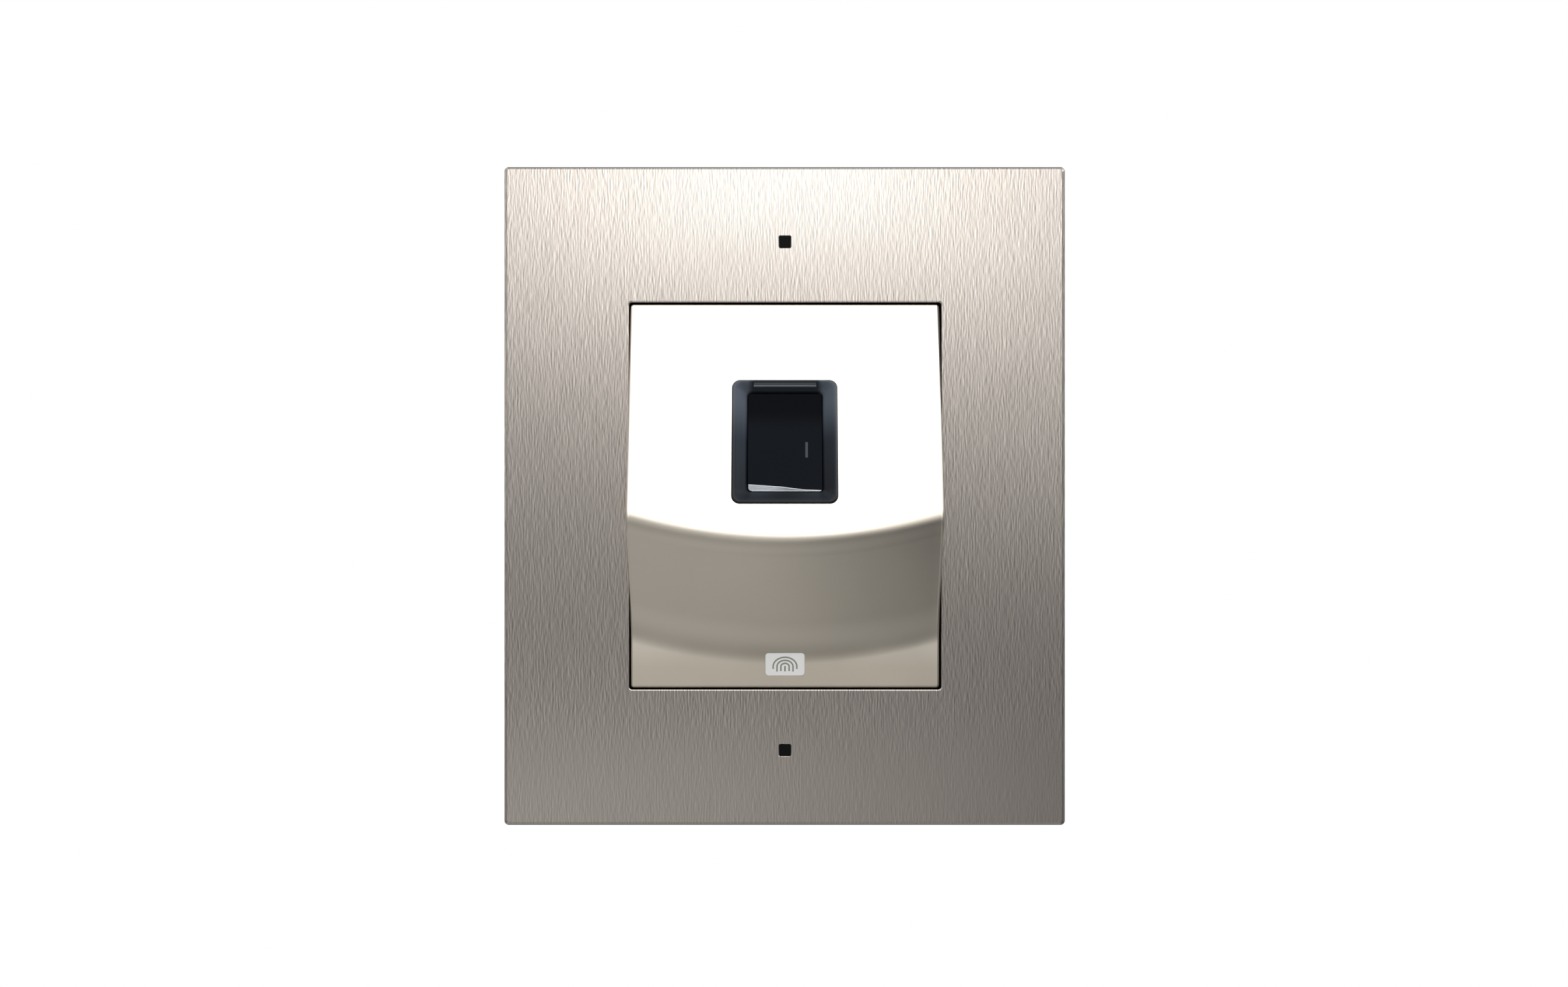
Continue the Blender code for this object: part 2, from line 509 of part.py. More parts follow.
# Knock-outs: thin grooves around discs that an installer can push out.
for k, (x, y, z, along) in enumerate((
        (-22, -22, xh, "Z"), (22, -22, xh, "Z"), (20, -22, -xh, "Z"),
        (-24, 0, 26, "Y"), (24, 0, 26, "Y"), (0, 0, -34, "Y"))):
    if along == "Z":
        disc = rod(f"knockout_{k}", 8.5, z - 0.6, z + 0.6, x, y, sides=20, cutter=True, along="Z")
        core = rod(f"knockout_core_{k}", 7.7, z - 2, z + 2, x, y, sides=20, cutter=True, along="Z")
    else:
        disc = rod(f"knockout_{k}", 8.5, y - 0.6, y + 0.6, x, z, sides=20, cutter=True)
        core = rod(f"knockout_core_{k}", 7.7, y - 2, y + 2, x, z, sides=20, cutter=True)
    cut(disc, core)
    cut(wall_box, disc)
gx, gy, gr = GROMMET_X / MM, GROMMET_Y / MM, GROMMET_BORE_R / MM
cut(wall_box, rod("grommet_hole", 5.2, -xh - 2, -xh + 4, gx, gy, sides=24, cutter=True, along="Z"))
# Outer ribs on the long sides key the box into the plaster.
for k, y in enumerate((-34.0, -22.0, -10.0)):
    for side, s in (("left", -1), ("right", 1)):
        xs = sorted((s * (xw - 0.6), s * (xw + 1.2)))
        join(wall_box, block(f"rib_{side}_{k}", (xs[0], y - 0.7, -52), (xs[1], y + 0.7, 52), cutter=True))

grommet_mesh = turned_mesh("cable_grommet", [
    (6.6, 3.8), (7.0, 3.4), (7.0, 2.3), (4.9, 2.3), (4.9, -0.3), (8.0, -0.3), (8.0, -1.3),
    (7.5, -1.8), (gr + 0.4, -1.8), (gr, -1.4), (gr, 3.4), (gr + 0.4, 3.8)], 24, ring=True)
place("cable_grommet", grommet_mesh, RUBBER, (GROMMET_X, GROMMET_Y, -xh * MM))

# ---------------------------------------------------------------- main board
by, bt = BOARD_Y / MM, BOARD_T / MM
main_board = block("main_board", (-BOARD_W / MM / 2, by, -BOARD_H / MM / 2),
                   (BOARD_W / MM / 2, by + bt, BOARD_H / MM / 2), PCB, corner=0.001, segments=1)
for name, x, z in four(BOARD_FIX):
    cut(main_board, rod(f"board_hole_{name}", 1.3, by - 1, by + 3, x, z, sides=10, cutter=True))
board_screw_mesh = turned_mesh("board_screw", screw_profile(1.9, 1.3, 1.0, 7.0, 0.8, 0.7), 12)
board_screw_mesh.materials.append(ZINC)
for name, x, z in four(BOARD_FIX):
    place(f"board_screw_{name}", board_screw_mesh, at=(x * MM, (by - 1.5) * MM, z * MM),
          turn=(math.pi / 2, 0, 0))

front, back = by - 0.2, by + bt + 0.2
block("processor", (-21, front - 1.5, 6), (-7, front, 20), CHIP, front_edge=0.0002, edge_segments=1)
block("relay", (11, front - 10, -38), (26, front, -19), RELAY, front_edge=0.0005, edge_segments=1)
block("power_inductor", (-14, front - 5, -38), (-3, front, -27), CHIP, corner=0.0012, segments=1)
can = turned_mesh("capacitor", [(0, 10.2), (3.6, 10.2), (4.0, 9.8), (4.0, 2.6), (3.7, 2.3),
                                (3.7, 1.8), (4.0, 1.5), (4.0, 0), (0, 0)], 20)
place("capacitor", can, CANMAT, (-0.022, front * MM, -0.031), (math.pi / 2, 0, 0))
buzz = turned_mesh("buzzer", [(0, 6.2), (1.0, 6.2), (1.2, 7.0), (5.6, 7.0), (6.0, 6.6), (6.0, 0), (0, 0)], 24)
place("buzzer", buzz, CHIP, (0.020, front * MM, 0.031), (math.pi / 2, 0, 0))
block("ribbon_connector", (-6.5, front - 2.0, -20.0), (6.5, front, -16.0), IVORY)

ethernet_jack = block("ethernet_jack", (-25, back, -43.8), (-9, back + 13.5, -23), ZINC)
cut(ethernet_jack, block("jack_socket", (-22.9, back + 3.2, -46), (-11.1, back + 11.5, -30), cutter=True))
cut(ethernet_jack, block("jack_latch_slot", (-19.9, back + 1.2, -46), (-14.1, back + 3.6, -34), cutter=True))
block("terminal_header", (0, back, -33), (24, back + 8.5, -24), GREEN)
terminal_plug = block("terminal_plug", (0.2, back + 0.2, -47), (23.8, back + 11.2, -33.3), GREEN)
for k in range(6):
    x = 2.2 + k * 3.92
    cut(terminal_plug, block(f"wire_entry_{k}", (x - 1.25, back + 3.0, -49), (x + 1.25, back + 5.5, -41), cutter=True))
    cut(terminal_plug, rod(f"screw_well_{k}", 1.3, back + 9.4, back + 13, x, -40, sides=10, cutter=True))

# ---------------------------------------------------------------- reset switch
rx, rz = RESET_X / MM, RESET_Z / MM
reset_switch = block("reset_switch", (rx - 3, back, rz - 3), (rx + 3, back + 3.5, rz + 3), CHIP)
cut(reset_switch, rod("reset_well", 2.0, back + 1.2, back + 5, rx, rz, sides=20, cutter=True))
cap_mesh = turned_mesh("reset_button", [(0, 0), (1.45, 0), (1.7, -0.25), (1.7, -5.3), (0, -5.3)], 20)
reset_button = place("reset_button", cap_mesh, IVORY, (RESET_X, (back + 7.0) * MM, RESET_Z), (-math.pi / 2, 0, 0))

# ---------------------------------------------------------------- tamper switch
tamper_switch = block("tamper_switch", (tx - 3.3, cy + 3.3, tz - 6.4), (tx + 3.3, cy + 9.8, tz + 6.4), CHIP)
cut(tamper_switch, rod("tamper_well", 1.5, cy + 2, cy + 6.2, tx, tz, sides=16, cutter=True))
# The plunger's tip is 0.3 mm behind the frame's plate, its tail in the switch.
pin_mesh = turned_mesh("tamper_plunger", [
    (0, 0), (0.8, 0), (1.1, -0.3), (1.1, -0.8), (2.4, -0.8), (2.4, -1.5), (1.1, -1.5),
    (1.1, -9.2), (0, -9.2)], 16)
place("tamper_plunger", pin_mesh, IVORY, (TAMPER_X, (F + 2.3) * MM, TAMPER_Z), (math.pi / 2, 0, 0))

# Return spring between the plunger's collar and the chassis.
coil = bpy.data.curves.new("tamper_spring", "CURVE")
coil.dimensions = "3D"
spline = coil.splines.new("POLY")
turns, per_turn = 3.5, 12
count = int(turns * per_turn) + 1
spline.points.add(count - 1)
low_y, high_y = F + 2.3 + 1.5 + 0.35, cy - 0.35
for k in range(count):
    a = 2 * math.pi * k / per_turn
    y = low_y + (high_y - low_y) * k / (count - 1)
    spline.points[k].co = (1.75 * MM * math.cos(a), y * MM, 1.75 * MM * math.sin(a), 1)
coil.bevel_depth = 0.2 * MM
coil.bevel_resolution = 1
coil.use_fill_caps = True
place_spring = bpy.data.objects.new("tamper_spring", coil)
parts.objects.link(place_spring)
place_spring.location = (TAMPER_X, 0, TAMPER_Z)
coil.materials.append(SPRINGMAT)

# ---------------------------------------------------------------- ribbon
def catmull(points, per_span):
    """A smooth line through the points."""
    pts = [np.array(p, float) for p in points]
    pts = [2 * pts[0] - pts[1]] + pts + [2 * pts[-1] - pts[-2]]
    out = []
    for i in range(1, len(pts) - 2):
        p0, p1, p2, p3 = pts[i - 1: i + 3]
        for k in range(per_span):
            s = k / per_span
            out.append(0.5 * (2 * p1 + (p2 - p0) * s + (2 * p0 - 5 * p1 + 4 * p2 - p3) * s * s
                              + (3 * p1 - p0 - 3 * p2 + p3) * s ** 3))
    out.append(pts[-2])
    return out


def slope_point(y, z):
    """World (y, z) in millimetres of a point given in the slope's own frame."""
    a = -math.atan(SLOPE)
    oy, oz = slope.location.y / MM, slope.location.z / MM
    return (oy + y * math.cos(a) - z * math.sin(a), oz + y * math.sin(a) + z * math.cos(a))


start, lead = slope_point(22.2, -10.4), slope_point(22.4, -13.5)
route = [start, lead, (lead[0] + 2.5, lead[1] - 3.6), (-36.0, -12.6), (-31.2, -12.2), (-29.2, -13.4),
         (front - 1.0, -15.6)]
line = catmull(route, 3)
bm = bmesh.new()
verts = [bm.verts.new((-0.005, p[0] * MM, p[1] * MM)) for p in line]
edges = [bm.edges.new((verts[i], verts[i + 1])) for i in range(len(verts) - 1)]
made = bmesh.ops.extrude_edge_only(bm, edges=edges)
for v in (g for g in made["geom"] if isinstance(g, bmesh.types.BMVert)):
    v.co.x = 0.005
ribbon_mesh = bpy.data.meshes.new("sensor_ribbon")
bm.to_mesh(ribbon_mesh)
bm.free()
ribbon = place("sensor_ribbon", ribbon_mesh, RIBBON)
film = ribbon.modifiers.new("film", "SOLIDIFY")
film.thickness = 0.0003
film.offset = 0.0
film.use_even_offset = True

for obj in parts.objects:
    if obj.type == "MESH" and obj.name not in ("sensor_ribbon", "module_cover"):
        obj.data.shade_smooth()
        obj.data.set_sharp_from_angle(angle=math.radians(35))
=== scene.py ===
"""Looks of the flush-mounted fingerprint terminal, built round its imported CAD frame.

Row frame: metres, +Z up, -Y towards the person. Lengths in the builders below
are in millimetres and are scaled when a mesh is made.
"""

import math

import json

import bmesh
import bpy
from mathutils import Matrix, Vector


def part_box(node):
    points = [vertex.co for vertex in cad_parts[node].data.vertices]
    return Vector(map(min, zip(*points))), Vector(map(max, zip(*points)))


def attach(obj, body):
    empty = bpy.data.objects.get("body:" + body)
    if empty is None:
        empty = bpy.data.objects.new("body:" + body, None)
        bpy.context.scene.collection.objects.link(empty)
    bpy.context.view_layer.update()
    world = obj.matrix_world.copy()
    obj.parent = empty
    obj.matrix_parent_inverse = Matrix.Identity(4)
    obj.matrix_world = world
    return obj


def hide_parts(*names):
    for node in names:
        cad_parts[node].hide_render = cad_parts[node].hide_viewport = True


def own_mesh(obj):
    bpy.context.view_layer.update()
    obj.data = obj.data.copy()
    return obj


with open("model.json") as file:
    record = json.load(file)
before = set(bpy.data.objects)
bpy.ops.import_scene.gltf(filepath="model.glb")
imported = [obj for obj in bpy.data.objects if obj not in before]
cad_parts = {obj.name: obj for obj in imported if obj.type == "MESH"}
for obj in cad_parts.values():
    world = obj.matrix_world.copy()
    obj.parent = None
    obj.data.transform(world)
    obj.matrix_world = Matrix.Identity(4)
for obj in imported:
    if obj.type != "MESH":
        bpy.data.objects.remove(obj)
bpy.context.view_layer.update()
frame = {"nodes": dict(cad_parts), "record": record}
scene = bpy.context.scene
ROOT = "terminal"
MM = 0.001

# Dimensions shared with the CAD, in millimetres.
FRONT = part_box("front_frame")[0].y / MM  # front plane of the frame
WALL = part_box("wall_box")[0].y / MM  # wall surface
RIM = FRONT + 3.6  # back edge of the module cover
SLOPE = 1.0 / 3.0
TOP = 44.45
BEZEL_Z = 12.44


# ------------------------------------------------------------------ mesh kit
def rrect(w, h, r, m=6, cx=0.0, cz=0.0):
    """Points (x, z) of a rounded rectangle, counter-clockwise seen from -Y."""
    r = max(r, 1e-4)
    pts = []
    for sx, sz, a0 in ((1, -1, -90), (1, 1, 0), (-1, 1, 90), (-1, -1, 180)):
        for k in range(m + 1):
            a = math.radians(a0 + 90 * k / m)
            pts.append((cx + sx * (w / 2 - r) + r * math.cos(a),
                        cz + sz * (h / 2 - r) + r * math.sin(a)))
    return pts


def skin(bm, loops, ring=False, cap_first=False, cap_last=False, mat=0):
    """Quads between loops of (x, y, z) millimetres; every loop has as many points."""
    rows = [[bm.verts.new((p[0] * MM, p[1] * MM, p[2] * MM)) for p in loop] for loop in loops]
    n = len(rows[0])
    pairs = list(zip(rows, rows[1:]))
    if ring:
        pairs.append((rows[-1], rows[0]))
    for a, b in pairs:
        for k in range(n):
            f = bm.faces.new((a[k], a[(k + 1) % n], b[(k + 1) % n], b[k]))
            f.material_index = mat
    if cap_first:
        bm.faces.new(list(reversed(rows[0]))).material_index = mat
    if cap_last:
        bm.faces.new(rows[-1]).material_index = mat
    return rows


def rect_loops(specs, m=6):
    """Loops from (w, h, r, y) or (w, h, r, y, cx, cz)."""
    out = []
    for spec in specs:
        w, h, r, y = spec[:4]
        cx, cz = spec[4:6] if len(spec) > 4 else (0, 0)
        out.append([(x, y, z) for x, z in rrect(w, h, r, m, cx, cz)])
    return out


def finish_mesh(bm, name, merge=1e-7, sharp=38):
    bmesh.ops.remove_doubles(bm, verts=bm.verts, dist=merge)
    bmesh.ops.dissolve_degenerate(bm, edges=bm.edges, dist=1e-8)
    bmesh.ops.recalc_face_normals(bm, faces=bm.faces)
    mesh = bpy.data.meshes.new(name)
    bm.to_mesh(mesh)
    bm.free()
    mesh.shade_smooth()
    mesh.set_sharp_from_angle(angle=math.radians(sharp))
    return mesh


def put(name, mesh, mats=(), matrix=None, hidden=False):
    obj = bpy.data.objects.new(name, mesh)
    scene.collection.objects.link(obj)
    if matrix is not None:
        obj.matrix_world = matrix
    for m in mats:
        obj.data.materials.append(m)
    if hidden:
        obj.hide_render = True
        obj.hide_viewport = True
    return obj


def boolean(obj, other, operation="DIFFERENCE"):
    m = obj.modifiers.new(other.name, "BOOLEAN")
    m.operation = operation
    m.solver = "EXACT"
    m.object = other


def weigh(obj):
    m = obj.modifiers.new("weighted", "WEIGHTED_NORMAL")
    m.keep_sharp = True
    m.weight = 50


def apply_all(obj, sharp=38):
    """Replaces the object's mesh by its evaluated one, so no helper is left behind."""
    bpy.context.view_layer.update()
    graph = bpy.context.evaluated_depsgraph_get()
    mesh = bpy.data.meshes.new_from_object(obj.evaluated_get(graph))
    obj.modifiers.clear()
    old = obj.data
    obj.data = mesh
    bpy.data.meshes.remove(old)
    bm = bmesh.new()
    bm.from_mesh(mesh)
    bmesh.ops.remove_doubles(bm, verts=bm.verts, dist=2e-7)
    bmesh.ops.dissolve_degenerate(bm, edges=bm.edges, dist=1e-7)
    bm.to_mesh(mesh)
    bm.free()
    mesh.shade_smooth()
    mesh.set_sharp_from_angle(angle=math.radians(sharp))
    return obj


def carve(obj, cutters=(), joins=(), sharp=38):
    """Booleans with helper meshes, applied and cleaned away."""
    for other in joins:
        boolean(obj, other, "UNION")
    for other in cutters:
        boolean(obj, other, "DIFFERENCE")
    apply_all(obj, sharp)
    for other in list(joins) + list(cutters):
        bpy.data.objects.remove(other, do_unlink=True)
    return obj


def solid(name, specs, m=6, matrix=None):
    """A closed body through rounded-rectangle loops, capped at both ends."""
    bm = bmesh.new()
    skin(bm, rect_loops(specs, m), cap_first=True, cap_last=True)
    return put(name, finish_mesh(bm, name), matrix=matrix)


def soft_block(w, h, r, y0, y1, e, steps=3, cx=0.0, cz=0.0, back=0.0):
    """Specs of a block from y0 (front, edges rounded by e) to y1."""
    specs = []
    for k in range(steps + 1):
        a = math.radians(90 * k / steps)
        inset = e * (1 - math.sin(a))
        specs.append((w - 2 * inset, h - 2 * inset, max(r - inset, 0.02), y0 + e * (1 - math.cos(a)), cx, cz))
    if back > 0:
        for k in range(steps + 1):
            a = math.radians(90 * k / steps)
            inset = back * (1 - math.cos(a))
            specs.append((w - 2 * inset, h - 2 * inset, max(r - inset, 0.02), y1 - back * (1 - math.sin(a)), cx, cz))
    else:
        specs.append((w, h, r, y1, cx, cz))
    return specs


def lathe(name, profile, steps=48, ring=False, axis="Z", at=(0, 0, 0), sharp=38):
    """Turns (radius, height) millimetres about an axis through at (metres)."""
    bm = bmesh.new()
    rows = []
    for k in range(steps):
        a = 2 * math.pi * k / steps
        rows.append([bm.verts.new((r * math.cos(a) * MM, r * math.sin(a) * MM, h * MM)) for r, h in profile])
    n = len(profile)
    for k in range(steps):
        p, q = rows[k], rows[(k + 1) % steps]
        for i in range(n if ring else n - 1):
            bm.faces.new((p[i], p[(i + 1) % n], q[(i + 1) % n], q[i]))
    mesh = finish_mesh(bm, name, sharp=sharp)
    turn = {"Z": Matrix(), "-Y": Matrix.Rotation(math.radians(90), 4, "X"),
            "Y": Matrix.Rotation(math.radians(-90), 4, "X")}[axis]
    mesh.transform(Matrix.Translation(at) @ turn)
    return mesh


def drum(name, r, y0, y1, x, z, steps=32, along="Y", chamfer=0.0):
    """A helper cylinder along Y at (x, z), or along Z at (x, y=z)."""
    bm = bmesh.new()
    loops = []
    for rr, y in ((r, y0), (r, y1)):
        loop = []
        for k in range(steps):
            a = 2 * math.pi * k / steps
            c, s = rr * math.cos(a), rr * math.sin(a)
            loop.append((x + c, y, z + s) if along == "Y" else (x + c, z + s, y))
        loops.append(loop)
    skin(bm, loops, cap_first=True, cap_last=True)
    return put(name, finish_mesh(bm, name))


# ------------------------------------------------------------- material kit
class Look:
    """A Principled material with procedural inputs in object space (metres)."""

    def __init__(self, name, metallic=0.0, roughness=0.5, color=(0.5, 0.5, 0.5), **sockets):
        self.mat = bpy.data.materials.new(name)
        self.mat.use_nodes = True
        self.nt = self.mat.node_tree
        self.p = self.nt.nodes["Principled BSDF"]
        self.p.inputs["Metallic"].default_value = metallic
        self.p.inputs["Roughness"].default_value = roughness
        self.p.inputs["Base Color"].default_value = (*color, 1)
        for key, value in sockets.items():
            self.p.inputs[key.replace("_", " ")].default_value = value
        self.mat.diffuse_color = (*color, 1)
        self._object = None

    def node(self, kind, **props):
        n = self.nt.nodes.new(kind)
        for k, v in props.items():
            setattr(n, k, v)
        return n

    def link(self, a, b):
        self.nt.links.new(a, b)

    def coords(self, scale=(1, 1, 1), offset=(0, 0, 0)):
        if self._object is None:
            self._object = self.node("ShaderNodeTexCoord")
        m = self.node("ShaderNodeMapping")
        m.inputs["Scale"].default_value = scale
        m.inputs["Location"].default_value = offset
        self.link(self._object.outputs["Object"], m.inputs["Vector"])
        return m.outputs["Vector"]

    def noise(self, scale, detail=2.0, rough=0.5, offset=(0, 0, 0), distortion=0.0):
        """Noise whose features are about 1/scale metres along each axis."""
        if not hasattr(scale, "__len__"):
            scale = (scale,) * 3
        n = self.node("ShaderNodeTexNoise")
        n.inputs["Scale"].default_value = 1.0
        n.inputs["Detail"].default_value = detail
        n.inputs["Roughness"].default_value = rough
        n.inputs["Distortion"].default_value = distortion
        self.link(self.coords(scale, offset), n.inputs["Vector"])
        return n.outputs["Fac"]

    def math(self, op, a, b=None, clamp=False):
        n = self.node("ShaderNodeMath", operation=op, use_clamp=clamp)
        for socket, value in ((n.inputs[0], a), (n.inputs[1], b)):
            if value is None:
                continue
            if isinstance(value, (int, float)):
                socket.default_value = value
            else:
                self.link(value, socket)
        return n.outputs[0]

    def span(self, value, lo, hi, to_lo, to_hi, smooth=False):
        n = self.node("ShaderNodeMapRange")
        n.interpolation_type = "SMOOTHSTEP" if smooth else "LINEAR"
        n.clamp = True
        self.link(value, n.inputs["Value"])
        for key, v in zip(("From Min", "From Max", "To Min", "To Max"), (lo, hi, to_lo, to_hi)):
            n.inputs[key].default_value = v
        return n.outputs["Result"]

    def ramp(self, value, stops):
        n = self.node("ShaderNodeValToRGB")
        ramp = n.color_ramp
        while len(ramp.elements) < len(stops):
            ramp.elements.new(0.5)
        for e, (pos, col) in zip(ramp.elements, stops):
            e.position = pos
            e.color = (*col, 1)
        self.link(value, n.inputs["Fac"])
        return n.outputs["Color"]

    def mix(self, fac, a, b, kind="MIX"):
        n = self.node("ShaderNodeMix", data_type="RGBA", blend_type=kind)
        for socket, value in ((n.inputs["Factor"], fac), (n.inputs[6], a), (n.inputs[7], b)):
            if isinstance(value, (int, float)):
                socket.default_value = value
            elif isinstance(value, tuple):
                socket.default_value = (*value, 1)
            else:
                self.link(value, socket)
        return n.outputs[2]

    def color(self, value):
        self.link(value, self.p.inputs["Base Color"])

    def rough(self, value):
        self.link(value, self.p.inputs["Roughness"])

    def bump(self, height, distance, strength=1.0):
        n = self.node("ShaderNodeBump")
        n.inputs["Strength"].default_value = strength
        n.inputs["Distance"].default_value = distance
        self.link(height, n.inputs["Height"])
        self.link(n.outputs["Normal"], self.p.inputs["Normal"])

    def axes(self, scale=(1, 1, 1)):
        n = self.node("ShaderNodeSeparateXYZ")
        self.link(self.coords(scale), n.inputs["Vector"])
        return n.outputs


def scaled(rgb, f):
    return tuple(c * f for c in rgb)


def brushed(name, rgb, roughness=0.24, contrast=0.29, aniso=0.8, across=5600.0, along=290.0, arris=0.0):
    """Metal brushed along Z: long thin overlapping scratches, each a little lighter or darker."""
    look = Look(name, metallic=1.0, roughness=roughness, color=rgb)
    look.p.inputs["Anisotropic"].default_value = aniso
    inward = across * 0.35
    wide = look.noise((across * 0.22, inward * 0.22, along * 0.45), 2, 0.5, (3.1, 0, 1.7))
    # each scratch has a dark and a light flank, so neighbouring scratches stay apart
    dark = look.noise((across * 0.55, inward, along * 1.22), 1, 0.5, (0.4, 0, 9.0))
    light = look.noise((across * 0.55, inward, along * 1.22), 1, 0.5, (1.3, 0, 9.0))
    fine = look.noise((across * 1.1, inward * 1.45, along * 0.32), 1, 0.6, (7.7, 0, 2.2), 0.15)
    streak = look.math("ADD", look.math("MULTIPLY", look.math("SUBTRACT", light, dark), 0.88), look.math("MULTIPLY", fine, 0.46))
    streak = look.math("ADD", look.math("ADD", streak, 0.255), look.math("MULTIPLY", wide, 0.03))
    # painted light: the grain shows less contrast towards the foot of the sheet, where the light across it is flat,
    # and a little less towards the head
    tall = look.axes((1000, 1000, 1000))[2]
    painted_grain_contrast = look.span(tall, -64.0, -46.0, 0.36, 1.0, smooth=True)
    painted_grain_contrast = look.math("MULTIPLY", painted_grain_contrast, look.span(tall, 34.0, 56.0, 1.0, 0.84, smooth=True))
    # painted light: at the head the grain is fainter in the middle, under the highlight, and a little stronger towards
    # the sides
    upper = look.span(tall, 44.0, 58.0, 0.0, 1.0, smooth=True)
    aside = look.span(look.math("ABSOLUTE", look.axes((1000, 1000, 1000))[0]), 14.0, 46.0, -0.28, 0.14, smooth=True)
    painted_grain_contrast = look.math("MULTIPLY", painted_grain_contrast, look.math("ADD", look.math("MULTIPLY", upper, aside), 1.0))
    streak = look.math("ADD", look.math("MULTIPLY", look.math("SUBTRACT", streak, 0.5), painted_grain_contrast), 0.5)
    level = look.span(streak, 0.16, 0.86, 0.90 - contrast * 1.4, 0.90 + contrast * 1.26)
    patch = look.span(look.noise((22, 22, 16), 2, 0.5, (5, 5, 5)), 0.3, 0.7, 0.985, 1.015)
    n = look.node("ShaderNodeVectorMath", operation="SCALE")
    n.inputs[0].default_value = rgb
    look.link(look.math("MULTIPLY", level, patch), n.inputs["Scale"])
    look.color(n.outputs["Vector"])
    look.rough(look.span(streak, 0.2, 0.82, roughness + 0.02, roughness - 0.015))
    look.bump(streak, 5e-6, 0.5)
    if arris:
        # painted highlight: the head of the sheet is a shade whiter and cooler in the middle
        x, y, z = look.axes((1000, 1000, 1000))
        head_highlight = look.math("MULTIPLY", look.span(z, 48.0, 68.0, 0.0, 1.0, smooth=True),
                         look.span(look.math("ABSOLUTE", x), 12.0, 52.0, 1.0, 0.0, smooth=True))
        tinted = look.node("ShaderNodeVectorMath", operation="MULTIPLY")
        look.link(n.outputs["Vector"], tinted.inputs[0])
        tinted.inputs[1].default_value = (1.0, 1.05, 1.075)
        face = look.mix(head_highlight, n.outputs["Vector"], tinted.outputs["Vector"])
        # painted dark reflection: a thin dark line along the top and bottom edges of the sheet
        dark_edge_line = look.math("GREATER_THAN", look.math("ABSOLUTE", look.math("ADD", z, 0.025)), arris)
        dark_edge_line = look.math("MULTIPLY", dark_edge_line, look.math("LESS_THAN", look.math("ABSOLUTE", x), 64.4))
        dark_edge_line = look.math("MULTIPLY", dark_edge_line, look.math("LESS_THAN", y, FRONT + 1.0))
        look.color(look.mix(dark_edge_line, face, scaled(rgb, 0.16)))
    tangent = look.node("ShaderNodeTangent", direction_type="RADIAL", axis="Z")
    look.link(tangent.outputs["Tangent"], look.p.inputs["Tangent"])
    return look


def satin(name, rgb, roughness=0.36, metallic=1.0, foot=None):
    """Fine metallic coat: even, with a very fine sparkle and soft mottling."""
    look = Look(name, metallic=metallic, roughness=roughness, color=rgb)
    fleck = look.noise(9000, 2, 0.7)
    cloud = look.noise((60, 60, 60), 3, 0.5, (2, 7, 1))
    level = look.math("MULTIPLY", look.span(fleck, 0.3, 0.7, 0.97, 1.03), look.span(cloud, 0.3, 0.7, 0.985, 1.015))
    if foot:
        # painted shade: the coat is a little darker and warmer towards the foot
        z = look.axes((1000, 1000, 1000))[2]
        low = look.span(z, foot - 4, foot + 4, 1.0, 0.0, smooth=True)
    n = look.node("ShaderNodeVectorMath", operation="SCALE")
    n.inputs[0].default_value = rgb
    look.link(level, n.inputs["Scale"])
    if foot:
        foot_shade = look.node("ShaderNodeVectorMath", operation="MULTIPLY")
        look.link(n.outputs["Vector"], foot_shade.inputs[0])
        foot_shade.inputs[1].default_value = (0.84, 0.825, 0.80)
        # a painted dark reflection runs along the rounding at the right of the slope
        x = look.axes((1000, 1000, 1000))[0]
        dark_edge_reflection = look.math("GREATER_THAN", look.math("ADD", x, look.math("MULTIPLY", z, 0.0132)), 35.86)
        dark_edge_reflection = look.math("MULTIPLY", dark_edge_reflection, look.span(z, 4.0, 14.0, 0.0, 1.0))
        body = look.mix(low, n.outputs["Vector"], foot_shade.outputs["Vector"])
        look.color(look.mix(dark_edge_reflection, body, scaled(rgb, 0.13)))
    else:
        look.color(n.outputs["Vector"])
    look.rough(look.span(cloud, 0.3, 0.7, roughness - 0.02, roughness + 0.02))
    look.bump(fleck, 1.2e-6, 0.5)
    return look


def moulded(name, rgb, roughness=0.5, grain=2600.0, depth=1.2e-5, spread=0.12, **sockets):
    """Moulded plastic: fine spark texture, slight colour drift and scuffed gloss."""
    look = Look(name, roughness=roughness, color=rgb, **sockets)
    spark = look.noise(grain, 4, 0.65)
    drift = look.noise((35, 35, 35), 3, 0.55, (4, 1, 8))
    look.color(look.mix(look.span(drift, 0.3, 0.7, 0.0, 1.0), scaled(rgb, 1 - spread), scaled(rgb, 1 + spread)))
    look.rough(look.math("ADD", look.span(spark, 0.3, 0.7, roughness - 0.06, roughness + 0.06),
                         look.span(drift, 0.35, 0.65, -0.03, 0.03)))
    look.bump(spark, depth, 0.7)
    return look


def plated(name, rgb, roughness=0.28):
    """Zinc or tin plate: fine crystalline mottling and faint rub marks."""
    look = Look(name, metallic=1.0, roughness=roughness, color=rgb)
    mottle = look.noise(900, 4, 0.6)
    rub = look.noise((150, 1500, 1500), 2, 0.6, (1, 2, 3))
    look.color(look.mix(look.span(mottle, 0.3, 0.7, 0, 1), scaled(rgb, 0.88), scaled(rgb, 1.06)))
    look.rough(look.math("ADD", look.span(mottle, 0.3, 0.7, roughness - 0.05, roughness + 0.07),
                         look.span(rub, 0.4, 0.7, 0.0, 0.06)))
    look.bump(mottle, 2e-6, 0.4)
    return look


